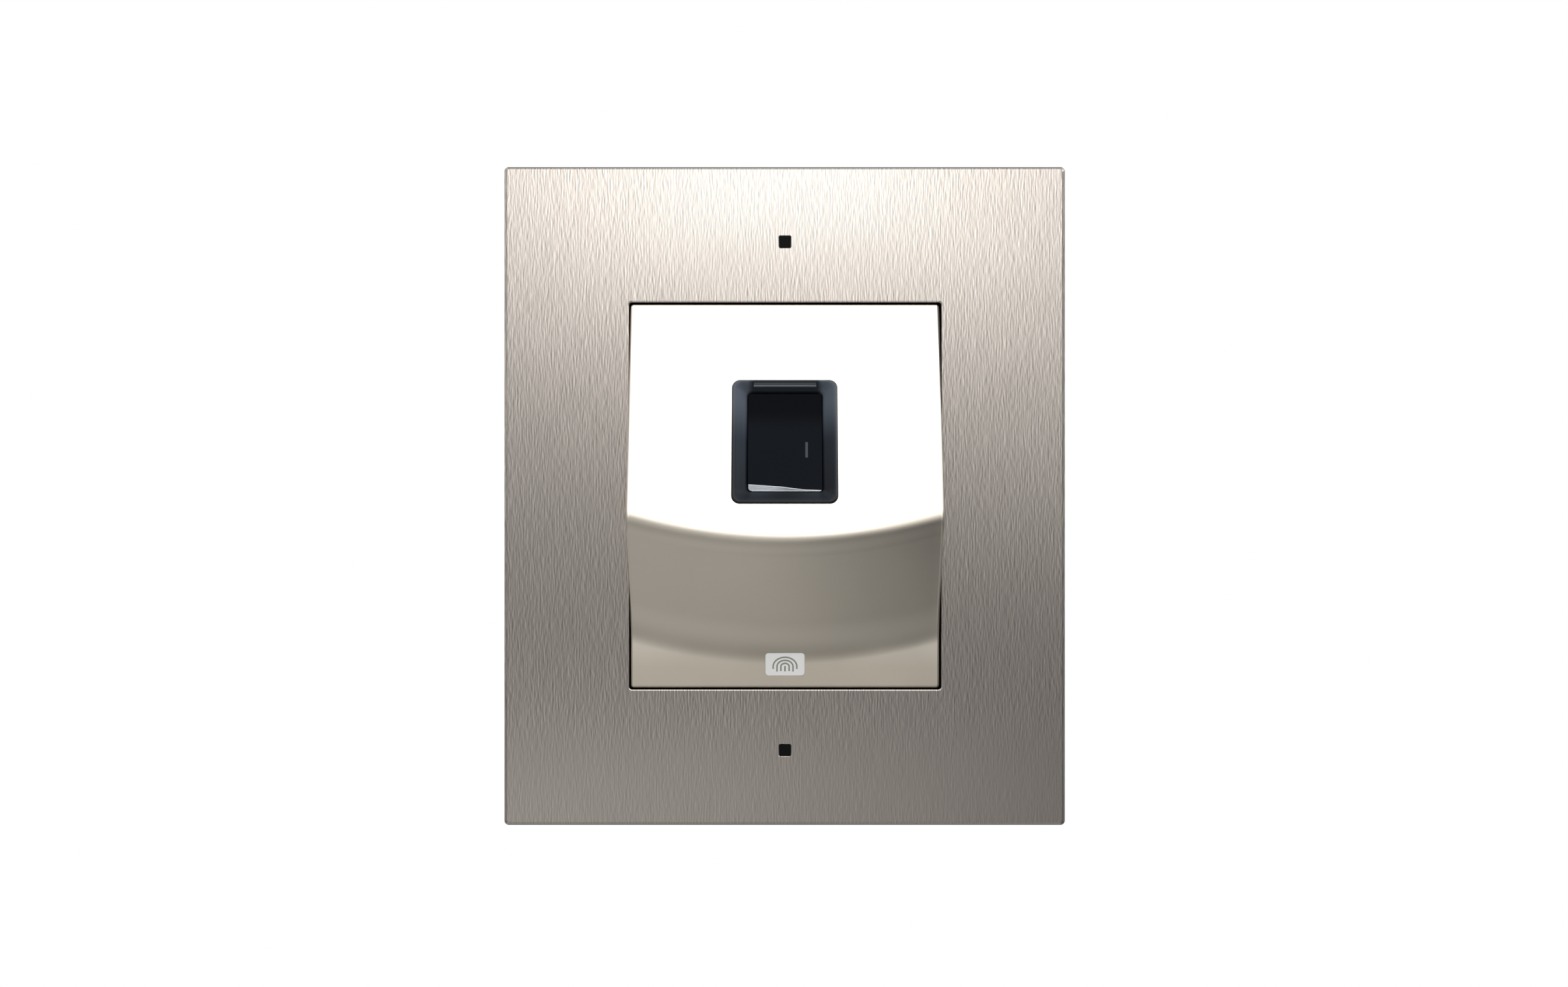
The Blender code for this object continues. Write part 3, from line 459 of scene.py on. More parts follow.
def board(name):
    """Solder mask over copper: traces show as a slightly lighter grid."""
    look = Look(name, roughness=0.38, color=(0.015, 0.10, 0.04))
    weave = look.noise(5200, 2, 0.5)
    x, y, z = look.axes((1, 1, 1))
    wobble = look.noise((420, 420, 420), 0, 0.5, (8, 3, 2))
    lane = look.math("FRACT", look.math("MULTIPLY", x, 640.0))
    rail = look.math("FRACT", look.math("MULTIPLY", z, 500.0))
    lanes = look.math("GREATER_THAN", lane, 0.62)
    rails = look.math("GREATER_THAN", rail, 0.66)
    patchy = look.math("GREATER_THAN", wobble, 0.5)
    track = look.math("ADD", look.math("MULTIPLY", lanes, patchy),
                      look.math("MULTIPLY", rails, look.math("SUBTRACT", 1.0, patchy)), clamp=True)
    look.color(look.mix(track, (0.012, 0.085, 0.035), (0.022, 0.155, 0.062)))
    look.rough(look.span(weave, 0.3, 0.7, 0.33, 0.45))
    look.bump(look.math("ADD", look.math("MULTIPLY", track, 0.8), look.math("MULTIPLY", weave, 0.2)), 2.5e-5, 0.7)
    return look


# ---------------------------------------------------------------- materials
NICKEL = (0.665, 0.605, 0.550)
COAT = (0.78, 0.715, 0.615)

nickel = brushed("brushed_nickel_fine", NICKEL, arris=76.10)
coat = satin("satin_nickel_fine", COAT, 0.30, foot=-36.5)
plastic = moulded("black_plastic_fine", (0.0030, 0.0031, 0.0033), 0.5, Specular_IOR_Level=0.11)
box_plastic = moulded("box_plastic_fine", (0.030, 0.030, 0.032), 0.55, grain=1500, depth=3e-5)
bezel_look = moulded("bezel_plastic_fine", (0.0085, 0.0130, 0.0200), 0.36, grain=5200, depth=4e-6, spread=0.10, Specular_IOR_Level=0.28)
smoke = moulded("smoked_diffuser_fine", (0.022, 0.026, 0.031), 0.36, grain=3000, depth=3e-6, spread=0.06, Specular_IOR_Level=0.28)
bx, by, bz = bezel_look.axes((1000, 1000, 1000))
# painted light and shade: the moulding's sides are paler towards the top and it darkens towards its foot
across_x = bezel_look.math("ABSOLUTE", bx)
wall = bezel_look.span(across_x, 7.2, 8.8, 0.0, 1.0, smooth=True)
lit_upwards = bezel_look.span(bz, -0.5, 10.8, 0.0, 1.0, smooth=True)
tone = bezel_look.mix(bezel_look.span(bz, -11.0, 3.0, 0.0, 1.0, smooth=True), (0.0070, 0.0096, 0.0140), (0.0146, 0.0204, 0.0310))
pale = bezel_look.mix(bezel_look.span(bx, -6.0, 6.0, 0.0, 1.0), (0.098, 0.113, 0.140), (0.094, 0.116, 0.144))
tone = bezel_look.mix(bezel_look.math("MULTIPLY", wall, lit_upwards), tone, pale)
# painted light and shade: the band along the foot is lighter in the middle and darker at the walls, and darker still
# on the rounding below
painted_base_band = bezel_look.math("MULTIPLY", bezel_look.span(bz, -12.0, -11.0, 1.0, 0.0, smooth=True),
                           bezel_look.span(bz, -14.5, -12.0, 0.25, 1.0, smooth=True))
painted_base_tone = bezel_look.mix(bezel_look.span(across_x, 1.0, 6.5, 0.0, 1.0, smooth=True), (0.0125, 0.0175, 0.0215), (0.026, 0.034, 0.044))
painted_base_tone = bezel_look.mix(wall, painted_base_tone, (0.012, 0.016, 0.022))
tone = bezel_look.mix(painted_base_band, tone, painted_base_tone)
# painted highlight along the rim's top and its right side
rim_highlight_top = bezel_look.math("MULTIPLY", bezel_look.span(bz, 14.66, 14.74, 0.0, 1.0), bezel_look.span(bz, 14.92, 14.98, 1.0, 0.0))
rim_highlight_side = bezel_look.math("MULTIPLY", bezel_look.span(bx, 11.55, 11.7, 0.0, 1.0), bezel_look.span(bz, -12.0, 12.0, 0.25, 0.7))
tone = bezel_look.mix(bezel_look.math("MAXIMUM", rim_highlight_top, rim_highlight_side), tone, (0.17, 0.175, 0.18))
bezel_look.color(tone)
sx_, sy_, sz_ = smoke.axes((1000, 1000, 1000))
# painted highlight: a light line along the bar's lower edge
edge_highlight = smoke.math("LESS_THAN", sz_, 13.42)
smoke.color(smoke.mix(edge_highlight, (0.020, 0.0240, 0.030), (0.130, 0.150, 0.168)))
rubber = moulded("rubber_fine", (0.022, 0.022, 0.022), 0.78, grain=1800, depth=2e-5)
foam = moulded("foam_seal_fine", (0.045, 0.045, 0.046), 0.93, grain=1300, depth=1.1e-4, spread=0.25)
zinc = plated("zinc_steel_fine", (0.66, 0.66, 0.64))
chassis_look = moulded("chassis_black_fine", (0.035, 0.035, 0.037), 0.52, grain=1700, depth=2.5e-5)
pcb = board("circuit_board_fine")
chip = moulded("chip_epoxy_fine", (0.018, 0.018, 0.019), 0.58, grain=4200, depth=6e-6)
led = moulded("led_epoxy_fine", (0.80, 0.78, 0.62), 0.22, grain=900, depth=2e-6, spread=0.05, Subsurface_Weight=0.1)
green = moulded("terminal_green_fine", (0.02, 0.26, 0.085), 0.42, grain=2200, depth=6e-6)
blue = moulded("relay_case_fine", (0.03, 0.10, 0.30), 0.36, grain=2600, depth=4e-6)
can = plated("aluminium_can_fine", (0.78, 0.78, 0.79), 0.24)
ivory = moulded("ivory_connector_fine", (0.74, 0.69, 0.58), 0.5, grain=2400, depth=6e-6, spread=0.05)
spring_look = plated("spring_steel_fine", (0.58, 0.58, 0.58), 0.2)

film = Look("ribbon_film_fine", roughness=0.36, color=(0.7, 0.7, 0.66))
fx, fy_, fz = film.axes()
wires = film.math("FRACT", film.math("MULTIPLY", fx, 2000.0))
film.color(film.mix(film.math("GREATER_THAN", wires, 0.45), (0.80, 0.79, 0.75), (0.55, 0.53, 0.48)))
film.bump(wires, 1e-5, 0.4)

glass = Look("sensor_glass_fine", roughness=0.05, color=(0.0045, 0.0055, 0.0075), IOR=1.5, Specular_IOR_Level=0.03)
gx, gy, gz = glass.axes((1000, 1000, 1000))
# painted reflection: a faint vertical streak a little right of the middle, inside the glass
reflection_streak_x = glass.math("LESS_THAN", glass.math("ABSOLUTE", glass.math("SUBTRACT", gx, 4.92)), 0.29)
reflection_streak_z = glass.math("LESS_THAN", glass.math("ABSOLUTE", glass.math("SUBTRACT", gz, -1.40)), 1.85)
reflection_streak = glass.math("MULTIPLY", reflection_streak_x, reflection_streak_z)
haze = glass.span(glass.noise((90, 90, 60), 3, 0.5, (2, 2, 6)), 0.3, 0.7, 0.0, 1.0)
deep = glass.mix(haze, (0.0042, 0.0062, 0.0096), (0.0052, 0.0076, 0.0115))
# painted shade: the glass turns darker and bluer towards its top, under the bezel's lip
dark = glass.mix(glass.span(gz, 3.0, 8.5, 0.0, 1.0, smooth=True), deep, (0.0003, 0.0010, 0.0034))
glass.color(glass.mix(reflection_streak, dark, (0.085, 0.100, 0.108)))
smear = glass.noise((260, 260, 120), 4, 0.6, (9, 4, 4))
glass.rough(glass.span(smear, 0.4, 0.75, 0.04, 0.13))

# painted reflection: the bright wedge at the foot of the glass, lighter on the left and darker to the right, with
# brighter lines along its edges
glint = Look("prism_glint_painted", roughness=0.22, color=(0.42, 0.46, 0.50))
strip = glint.mix(glint.span(glint.noise((500, 500, 2200), 3, 0.6), 0.3, 0.7, 0, 1), (0.33, 0.36, 0.40), (0.52, 0.56, 0.60))
strip_x = glint.axes((1000, 1000, 1000))[0]
glint.color(glint.mix(glint.span(strip_x, -4.0, 1.5, 0.0, 0.9, smooth=True), strip, (0.17, 0.19, 0.21)))
glint_line = Look("prism_glint_line_painted", roughness=0.15, color=(0.85, 0.87, 0.90))
glint_line.color(glint_line.mix(glint_line.noise(1500, 2, 0.5), (0.74, 0.77, 0.80), (0.92, 0.94, 0.96)))

label = moulded("badge_print_fine", (0.95, 0.95, 0.93), 0.42, grain=5000, depth=2e-6, spread=0.02)
ink = satin("badge_symbol_fine", (0.33, 0.315, 0.275), 0.42, 0.35)

LOOKS = {
    "brushed_nickel": nickel, "satin_nickel_coat": coat, "black_plastic": plastic, "box_plastic": box_plastic,
    "bezel_plastic": bezel_look, "smoked_diffuser": smoke, "sensor_glass": glass, "rubber": rubber,
    "foam_seal": foam, "badge_print": label, "zinc_steel": zinc, "chassis_black": chassis_look,
    "circuit_board": pcb, "chip_epoxy": chip, "led_epoxy": led, "terminal_green": green, "relay_case": blue,
    "aluminium_can": can, "ivory_connector": ivory, "ribbon_film": film, "spring_steel": spring_look,
}
for entry in frame["record"]["subparts"]:
    node = frame["nodes"][entry["node"]]
    look = LOOKS[entry["material_slot"]].mat
    node.data.materials.clear()
    node.data.materials.append(look)


# -------------------------------------------------------------- front frame
PLUG_Z = {1: 58.94, -1: -59.0}  # middles of the two plugs


def build_frame():
    # side wall, small rounded arris, 0.7 mm chamfer, and its soft break into the face
    ow, oh, ox, oz = 130.17, 152.65, -0.085, -0.025  # outline of the sheet and its small offset from the window
    specs = [(127.0, 150.0, 0.5, WALL), (ow - 0.3, oh - 0.3, 0.9, WALL, ox, oz), (ow, oh, 0.95, WALL - 0.15, ox, oz)]
    for inset, y in ((0.0, 0.62), (0.03, 0.52), (0.09, 0.44), (0.17, 0.375), (0.50, 0.11), (0.57, 0.06), (0.66, 0.02)):
        specs.append((ow - 2 * inset, oh - 2 * inset, 0.95 - inset * 0.6, FRONT + y, ox, oz))
    specs.append((ow - 1.5, oh - 1.5, 0.42, FRONT, ox, oz))
    c = 0.15
    wide, high, off = 72.4, 89.77, 0.05
    specs.append((wide + 1.0, high + 1.0, 1.2, FRONT, off, 0))
    for k in range(4):
        a = math.radians(90 * k / 3)
        inset = c * math.sin(a)
        lean = -0.07 * (1 - inset / c)  # the chamfer is wider along the foot than along the head
        specs.append((wide + 2 * c - 2 * inset, high + 2 * c - 2 * inset, 0.7 + c - inset, FRONT + c * (1 - math.cos(a)), off, lean))
    specs += [(wide, high, 0.7, FRONT + 1.9, off, 0), (wide + 0.2, high + 0.2, 0.8, FRONT + 2.0, off, 0),
              (126.2, 149.2, 0.5, FRONT + 2.0), (127.0, 150.0, 0.6, FRONT + 2.4)]
    bm = bmesh.new()
    skin(bm, rect_loops(specs, 6), ring=True)
    obj = put("frame_brushed", finish_mesh(bm, "frame_brushed"), [nickel.mat])
    joins, cuts = [], []
    for sign in (1, -1):
        z = 58.9 * sign
        leg = []
        bracket = solid(f"bracket_{sign}", soft_block(9.2, 7, 0.6, FRONT + 1.8, WALL + 0.3, 0.01, 1, 0, z, 0.3))
        pocket = solid(f"pocket_{sign}", [(6.8, 10, 0.3, FRONT + 1.0, 0, z), (6.8, 10, 0.3, WALL - 0.7, 0, z)])
        lo, hi = (z - 6, z + 1.7) if sign > 0 else (z - 1.7, z + 6)
        slot = solid(f"slot_{sign}", [(3.4, hi - lo, 1.69, WALL - 2, 0, (lo + hi) / 2), (3.4, hi - lo, 1.69, WALL + 2, 0, (lo + hi) / 2)])
        carve(bracket, [pocket, slot])
        joins.append(bracket)
        hz = PLUG_Z[sign]
        hole = solid(f"plug_hole_{sign}", [
            (3.3, 3.3, 0.6, FRONT - 0.13, 0, hz), (3.04, 3.04, 0.46, FRONT, 0, hz), (2.78, 2.78, 0.34, FRONT + 0.13, 0, hz), (2.78, 2.78, 0.34, FRONT + 2.6, 0, hz)], 4)
        cuts.append(hole)
    carve(obj, cuts, joins)
    weigh(obj)
    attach(obj, ROOT)
    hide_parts("front_frame")
    return obj


build_frame()

for side, sign in (("upper", 1), ("lower", -1)):
    z = PLUG_Z[sign]
    bm = bmesh.new()
    skin(bm, rect_loops(soft_block(2.72, 2.72, 0.31, FRONT + 0.2, FRONT + 1.9, 0.14, 3, 0, z), 4), cap_first=True, cap_last=True)
    plug = put(f"{side}_plug_moulded", finish_mesh(bm, "plug"), [plastic.mat])
    weigh(plug)
    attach(plug, ROOT)
    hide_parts(f"{side}_screw_plug")


# ------------------------------------------------------------- module cover
RIDGE_R, BASE_R = 7.0, 17.0


def round_corner(before, corner, after, radius):
    """(centre, first tangent point, last tangent point) of the arc that rounds a corner."""
    a, v, b = Vector(before), Vector(corner), Vector(after)
    d1, d2 = (a - v).normalized(), (b - v).normalized()
    half = d1.angle(d2) / 2
    t = radius / math.tan(half)
    return v + (d1 + d2).normalized() * (radius / math.sin(half)), v + d1 * t, v + d2 * t


def nose(x):
    """Break points of the cover's slice at x, as (z, depth) pairs and arc centres."""
    rise = (x / 34.0) ** 2
    rz = -10.9 + 4.55 * rise
    ridge = (rz, (TOP - rz) * SLOPE)
    foot = (-32.75 + 4.0 * rise, 0.0)
    c1, a1, b1 = round_corner((TOP, 0.0), ridge, foot, RIDGE_R)
    c2, a2, b2 = round_corner(ridge, foot, (-TOP, 0.0), BASE_R)
    return c1, a1, b1, c2, a2, b2


def depth(x, z):
    """How far the cover stands out in front of the frame's face at (x, z)."""
    c1, a1, b1, c2, a2, b2 = nose(x)
    if z >= a1[0]:
        return (TOP - z) * SLOPE
    if z >= b1[0]:
        return c1[1] + math.sqrt(max(RIDGE_R**2 - (z - c1[0]) ** 2, 0))
    if z >= a2[0]:
        t = (z - a2[0]) / (b1[0] - a2[0])
        return a2[1] + (b1[1] - a2[1]) * t
    if z >= b2[0]:
        return c2[1] - math.sqrt(max(BASE_R**2 - (z - c2[0]) ** 2, 0))
    return 0.0


NX, CORE = 50, 0.7
ROWS = ((0, 18), (1, 14), (2, 7), (3, 18), (4, 4))


def core_rows(x):
    """Heights of the grid's rows in the slice at x, top to bottom."""
    _, a1, b1, _, a2, b2 = nose(x)
    marks = [TOP - CORE, a1[0], b1[0], a2[0], b2[0], -TOP + CORE]
    zs = [marks[0]]
    for (k, count) in ROWS:
        for i in range(1, count + 1):
            zs.append(marks[k] + (marks[k + 1] - marks[k]) * i / count)
    return zs


def build_cover():
    half = 35.78 - CORE
    xs = [-half + 2 * half * i / NX for i in range(NX + 1)]
    grid = [[(x, z) for z in core_rows(x)] for x in xs]
    nz = len(grid[0]) - 1
    bm = bmesh.new()

    def vert(x, z, d):
        return bm.verts.new((x * MM, (FRONT - d) * MM, z * MM))

    # perimeter as (x, z, outward direction, diagonal sign) entries; corners fan out
    perimeter = []
    m = 6

    def fan(x, z, a0):
        for k in range(m + 1):
            a = math.radians(a0 - 90 * k / m)
            sx, sz = (1 if x > 0 else -1), (1 if z > 0 else -1)
            perimeter.append((x, z, math.cos(a), math.sin(a), sx, sz))

    x0, x1 = xs[0], xs[-1]
    ztop, zbot = grid[0][0][1], grid[0][-1][1]
    fan(x0, ztop, 180)
    for i in range(1, NX):
        perimeter.append((xs[i], grid[i][0][1], 0, 1, 0, 1))
    fan(x1, ztop, 90)
    for j in range(1, nz):
        perimeter.append((x1, grid[-1][j][1], 1, 0, 1, 0))
    fan(x1, zbot, 0)
    for i in range(NX - 1, 0, -1):
        perimeter.append((xs[i], grid[i][-1][1], 0, -1, 0, -1))
    fan(x0, zbot, -90)
    for j in range(nz - 1, 0, -1):
        perimeter.append((x0, grid[0][j][1], -1, 0, -1, 0))

    def sheet(shrink, drop):
        made = []
        for i in range(NX + 1):
            col = []
            for j in range(nz + 1):
                x, z = grid[i][j]
                zz = max(min(z, ztop - shrink), zbot + shrink)
                xx = max(min(x, x1 - shrink), x0 + shrink)
                col.append(vert(xx, zz, depth(x, z) - drop))
            made.append(col)
        for i in range(NX):
            for j in range(nz):
                bm.faces.new((made[i][j], made[i + 1][j], made[i + 1][j + 1], made[i][j + 1]))

    def loop(t, drop=None, y=None):
        out = []
        for x, z, dx, dz, sx, sz in perimeter:
            px, pz = (x + t * dx, z + t * dz) if t >= 0 else (x + t * sx, z + t * sz)
            d = depth(x, z) - drop if y is None else FRONT - y
            if y is None and t > 0 and dz > 0:
                d = depth(x, z) - drop - SLOPE * t * dz
            out.append(vert(px, pz, d))
        return out

    sheet(0.0, 0.0)
    sheet(1.1, 2.1)
    e = 0.42
    loops = [loop(0.0, 0.0), loop(0.2, 0.0), loop(CORE - e, 0.0)]
    for k in range(1, 6):
        a = math.radians(90 * k / 5)
        loops.append(loop(CORE - e + e * math.sin(a), e * (1 - math.cos(a))))
    loops.append(loop(CORE, y=RIM - 0.15))
    loops.append(loop(CORE - 0.12, y=RIM))
    loops.append(loop(-1.1, y=RIM))
    loops.append(loop(-1.1, drop=2.1))
    n = len(perimeter)
    for a, b in zip(loops, loops[1:]):
        for k in range(n):
            bm.faces.new((a[k], a[(k + 1) % n], b[(k + 1) % n], b[k]))
    obj = put("cover_satin", finish_mesh(bm, "cover_satin", merge=2e-6, sharp=45), [coat.mat])

    opening = solid("sensor_opening", [(24.2, 29.87, 1.95, -4, -0.065, -0.025), (24.2, 29.87, 1.95, 8, -0.065, -0.025)], 8, SLOPE_M)
    pocket = solid("badge_pocket", [(9.24, 5.44, 0.82, FRONT - 1, 0, -39.0), (9.24, 5.44, 0.82, FRONT + 0.35, 0, -39.0)], 6)
    bosses = [drum("boss_a", 2.3, -50.3, -45.7, 0, 40.2), drum("boss_b", 2.3, -48.9, -45.7, 0, -40.0)]
    taps = [drum("tap_a", 1.15, -48.0, -45.0, 0, 40.2), drum("tap_b", 1.15, -47.9, -45.0, 0, -40.0)]
    carve(obj, [opening, pocket] + taps, bosses, sharp=45)
    weigh(obj)
    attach(obj, ROOT)
    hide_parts("module_cover")
    return obj


SLOPE_M = Matrix.Translation((0, (FRONT - (TOP - BEZEL_Z) * SLOPE) * MM, BEZEL_Z * MM)) @ Matrix.Rotation(
    -math.atan(SLOPE), 4, "X")
build_cover()


# -------------------------------------------------------------------- badge
def build_badge():
    bm = bmesh.new()
    face = FRONT - 0.04
    skin(bm, rect_loops(soft_block(9.1, 5.3, 0.75, face, FRONT + 0.3, 0.08, 3, 0, -39.0), 8), cap_first=True, cap_last=True)
    # a plain fingerprint sign: nested arches round a short stem
    rise = face - 0.02

    def stroke(points, width):
        pts = [Vector(p) for p in points]
        left, right = [], []
        for i, p in enumerate(pts):
            a, b = pts[max(i - 1, 0)], pts[min(i + 1, len(pts) - 1)]
            t = (b - a).normalized()
            nrm = Vector((-t.y, t.x)) * width / 2
            left.append(p + nrm)
            right.append(p - nrm)
        for top in (rise, ):
            rows = []
            for l, r in zip(left, right):
                rows.append([(l.x, face + 0.02, l.y), (l.x, rise, l.y), (r.x, rise, r.y), (r.x, face + 0.02, r.y)])
            verts = [[bm.verts.new((q[0] * MM, q[1] * MM, q[2] * MM)) for q in row] for row in rows]
            for a, b in zip(verts, verts[1:]):
                for k in range(4):
                    bm.faces.new((a[k], a[(k + 1) % 4], b[(k + 1) % 4], b[k])).material_index = 1
            bm.faces.new(verts[0]).material_index = 1
            bm.faces.new(list(reversed(verts[-1]))).material_index = 1

    cz = -39.55
    for radius, tail in ((0.75, 1.05), (1.45, 1.15), (2.15, 0.55)):
        wide = 1.28
        arch = [(-radius * wide, cz - tail)]
        arch += [(radius * wide * math.cos(math.radians(a)), cz + radius * math.sin(math.radians(a)))
                 for a in range(180, -1, -9)]
        arch += [(radius * wide, cz - tail)]
        stroke(arch, 0.36)
    stroke([(0, cz + 0.12), (0, cz - 0.5), (0, cz - 1.1)], 0.38)
    obj = put("badge_symbol", finish_mesh(bm, "badge_symbol"), [label.mat, ink.mat])
    weigh(obj)
    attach(obj, ROOT)
    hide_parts("badge_plate")


build_badge()


# -------------------------------------------------------------------- bezel
def build_bezel():
    """Everything here is square to the sensor face: x across, y inwards, z up the slope."""
    bw, bh, ox, oz = 24.13, 29.8, -0.065, -0.025  # outline of the rim, and its offset
    specs = [(32.0, 32.8, 2.0, 3.7), (32.0, 32.8, 2.0, 2.2), (bw, bh, 1.9, 2.2, ox, oz), (bw, bh, 1.9, -0.05, ox, oz)]
    e = 0.45
    for k in range(1, 6):
        a = math.radians(90 * k / 5)
        inset = e * (1 - math.cos(a))
        specs.append((bw - 2 * inset, bh - 2 * inset, 1.9 - inset, -0.05 - e * math.sin(a), ox, oz))
    # funnel: a dished guide that rolls over a soft lip into the aperture
    funnel = [(0.62, -0.47), (0.85, -0.40), (1.2, -0.20), (1.7, 0.16), (2.2, 0.54), (2.65, 0.90), (2.95, 1.12),
              (3.14, 1.30), (3.28, 1.52), (3.36, 1.80), (3.40, 2.2)]
    for inset, y in funnel:
        t = (inset - 0.62) / 2.78
        lift = 0.4 * t  # the aperture reaches a little higher than the middle of the bezel
        specs.append((24.0 - 2 * inset, 30.0 - 2 * inset + 2 * lift, 1.65 - 0.7 * t, y, 0, lift))
    specs += [(17.2, 24.0, 0.95, 3.7, 0, 0.4)]
    bm = bmesh.new()
    skin(bm, rect_loops(specs, 10), ring=True)
    obj = put("bezel_moulded", finish_mesh(bm, "bezel_moulded", sharp=50), [bezel_look.mat], SLOPE_M)
    cuts = [solid("bar_slot", [(14.42, 1.08, 0.06, -2, 0, 13.64), (14.42, 1.08, 0.06, 6, 0, 13.64)], 2, SLOPE_M)]
    for x in (-13.6, 13.6):
        tap = drum("tap", 1.15, 2.9, 6, x, 0)
        tap.matrix_world = SLOPE_M
        cuts.append(tap)
    bpy.context.view_layer.update()
    carve(obj, cuts, sharp=50)
    weigh(obj)
    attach(obj, ROOT)
    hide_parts("sensor_bezel")

    bm = bmesh.new()
    skin(bm, rect_loops(soft_block(14.34, 1.0, 0.1, -0.44, 3.5, 0.06, 3, 0, 13.64), 4), cap_first=True, cap_last=True)
    bar = put("light_bar_smoked", finish_mesh(bm, "light_bar"), [smoke.mat], SLOPE_M)
    weigh(bar)
    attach(bar, ROOT)
    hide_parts("light_bar")


build_bezel()


def build_glass():
    w, h, r, face = 17.06, 23.86, 0.9, 1.9
    bm = bmesh.new()
    front = soft_block(w, h, r, face, face + 0.6, 0.14, 3, 0, 0.4)
    # a shoulder in front of the seal, then the narrower body that the housing's bore takes
    loops = rect_loops(list(front) + [(w, h, r, 3.5, 0, 0.4), (16.8, 22.8, 0.8, 3.7, 0, 0)], 8)
    # the back is cut on the slant: shallow at the foot, deep at the top
    back = [(x, face + 4.0 + 4.6 * (z + 11.4) / 22.8, z) for x, _, z in loops[-1]]
    skin(bm, loops + [back], cap_first=True, cap_last=True)
    # painted reflection: thin light plates on the glass's lower edge stand for the bright wedge reflected there
    def plate(points, y, mat):
        vs = [bm.verts.new((x * MM, y * MM, z * MM)) for x, z in points]
        us = [bm.verts.new((x * MM, (y + 0.05) * MM, z * MM)) for x, z in points]
        bm.faces.new(vs).material_index = mat
        bm.faces.new(list(reversed(us))).material_index = mat
        for k in range(len(vs)):
            bm.faces.new((vs[k], us[k], us[(k + 1) % len(vs)], vs[(k + 1) % len(vs)])).material_index = mat

    low = -11.28
    corner = [(-8.28 + 0.0 - 0.75 * math.sin(math.radians(a)) + 0.72 - 0.72, low + 0.75 - 0.75 * math.cos(math.radians(a))) for a in (90, 67, 45, 22, 0)]
    corner = [(-7.55 - 0.75 * math.cos(math.radians(a)), low + 0.75 - 0.75 * math.sin(math.radians(a))) for a in (0, 22, 45, 67, 90)]
    wedge = [(-8.3, -9.72)] + corner + [(8.0, low), (8.25, low + 0.18), (4.2, -10.98), (-0.9, -10.28)]
    plate(wedge, face - 0.03, 1)
    plate([(-8.3, -9.72), (-8.22, -9.86), (-0.9, -10.42), (4.2, -11.06), (8.25, low + 0.10), (8.25, low + 0.20), (4.2, -10.94), (-0.9, -10.26)], face - 0.05, 2)
    plate([(-7.6, low + 0.02), (-7.5, low - 0.06), (7.95, low - 0.06), (8.2, low + 0.14), (7.9, low + 0.08)], face - 0.05, 2)
    obj = put("prism_glass", finish_mesh(bm, "prism_glass", merge=1e-8), [glass.mat, glint.mat, glint_line.mat], SLOPE_M)
    weigh(obj)
    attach(obj, ROOT)
    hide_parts("platen_prism")


build_glass()


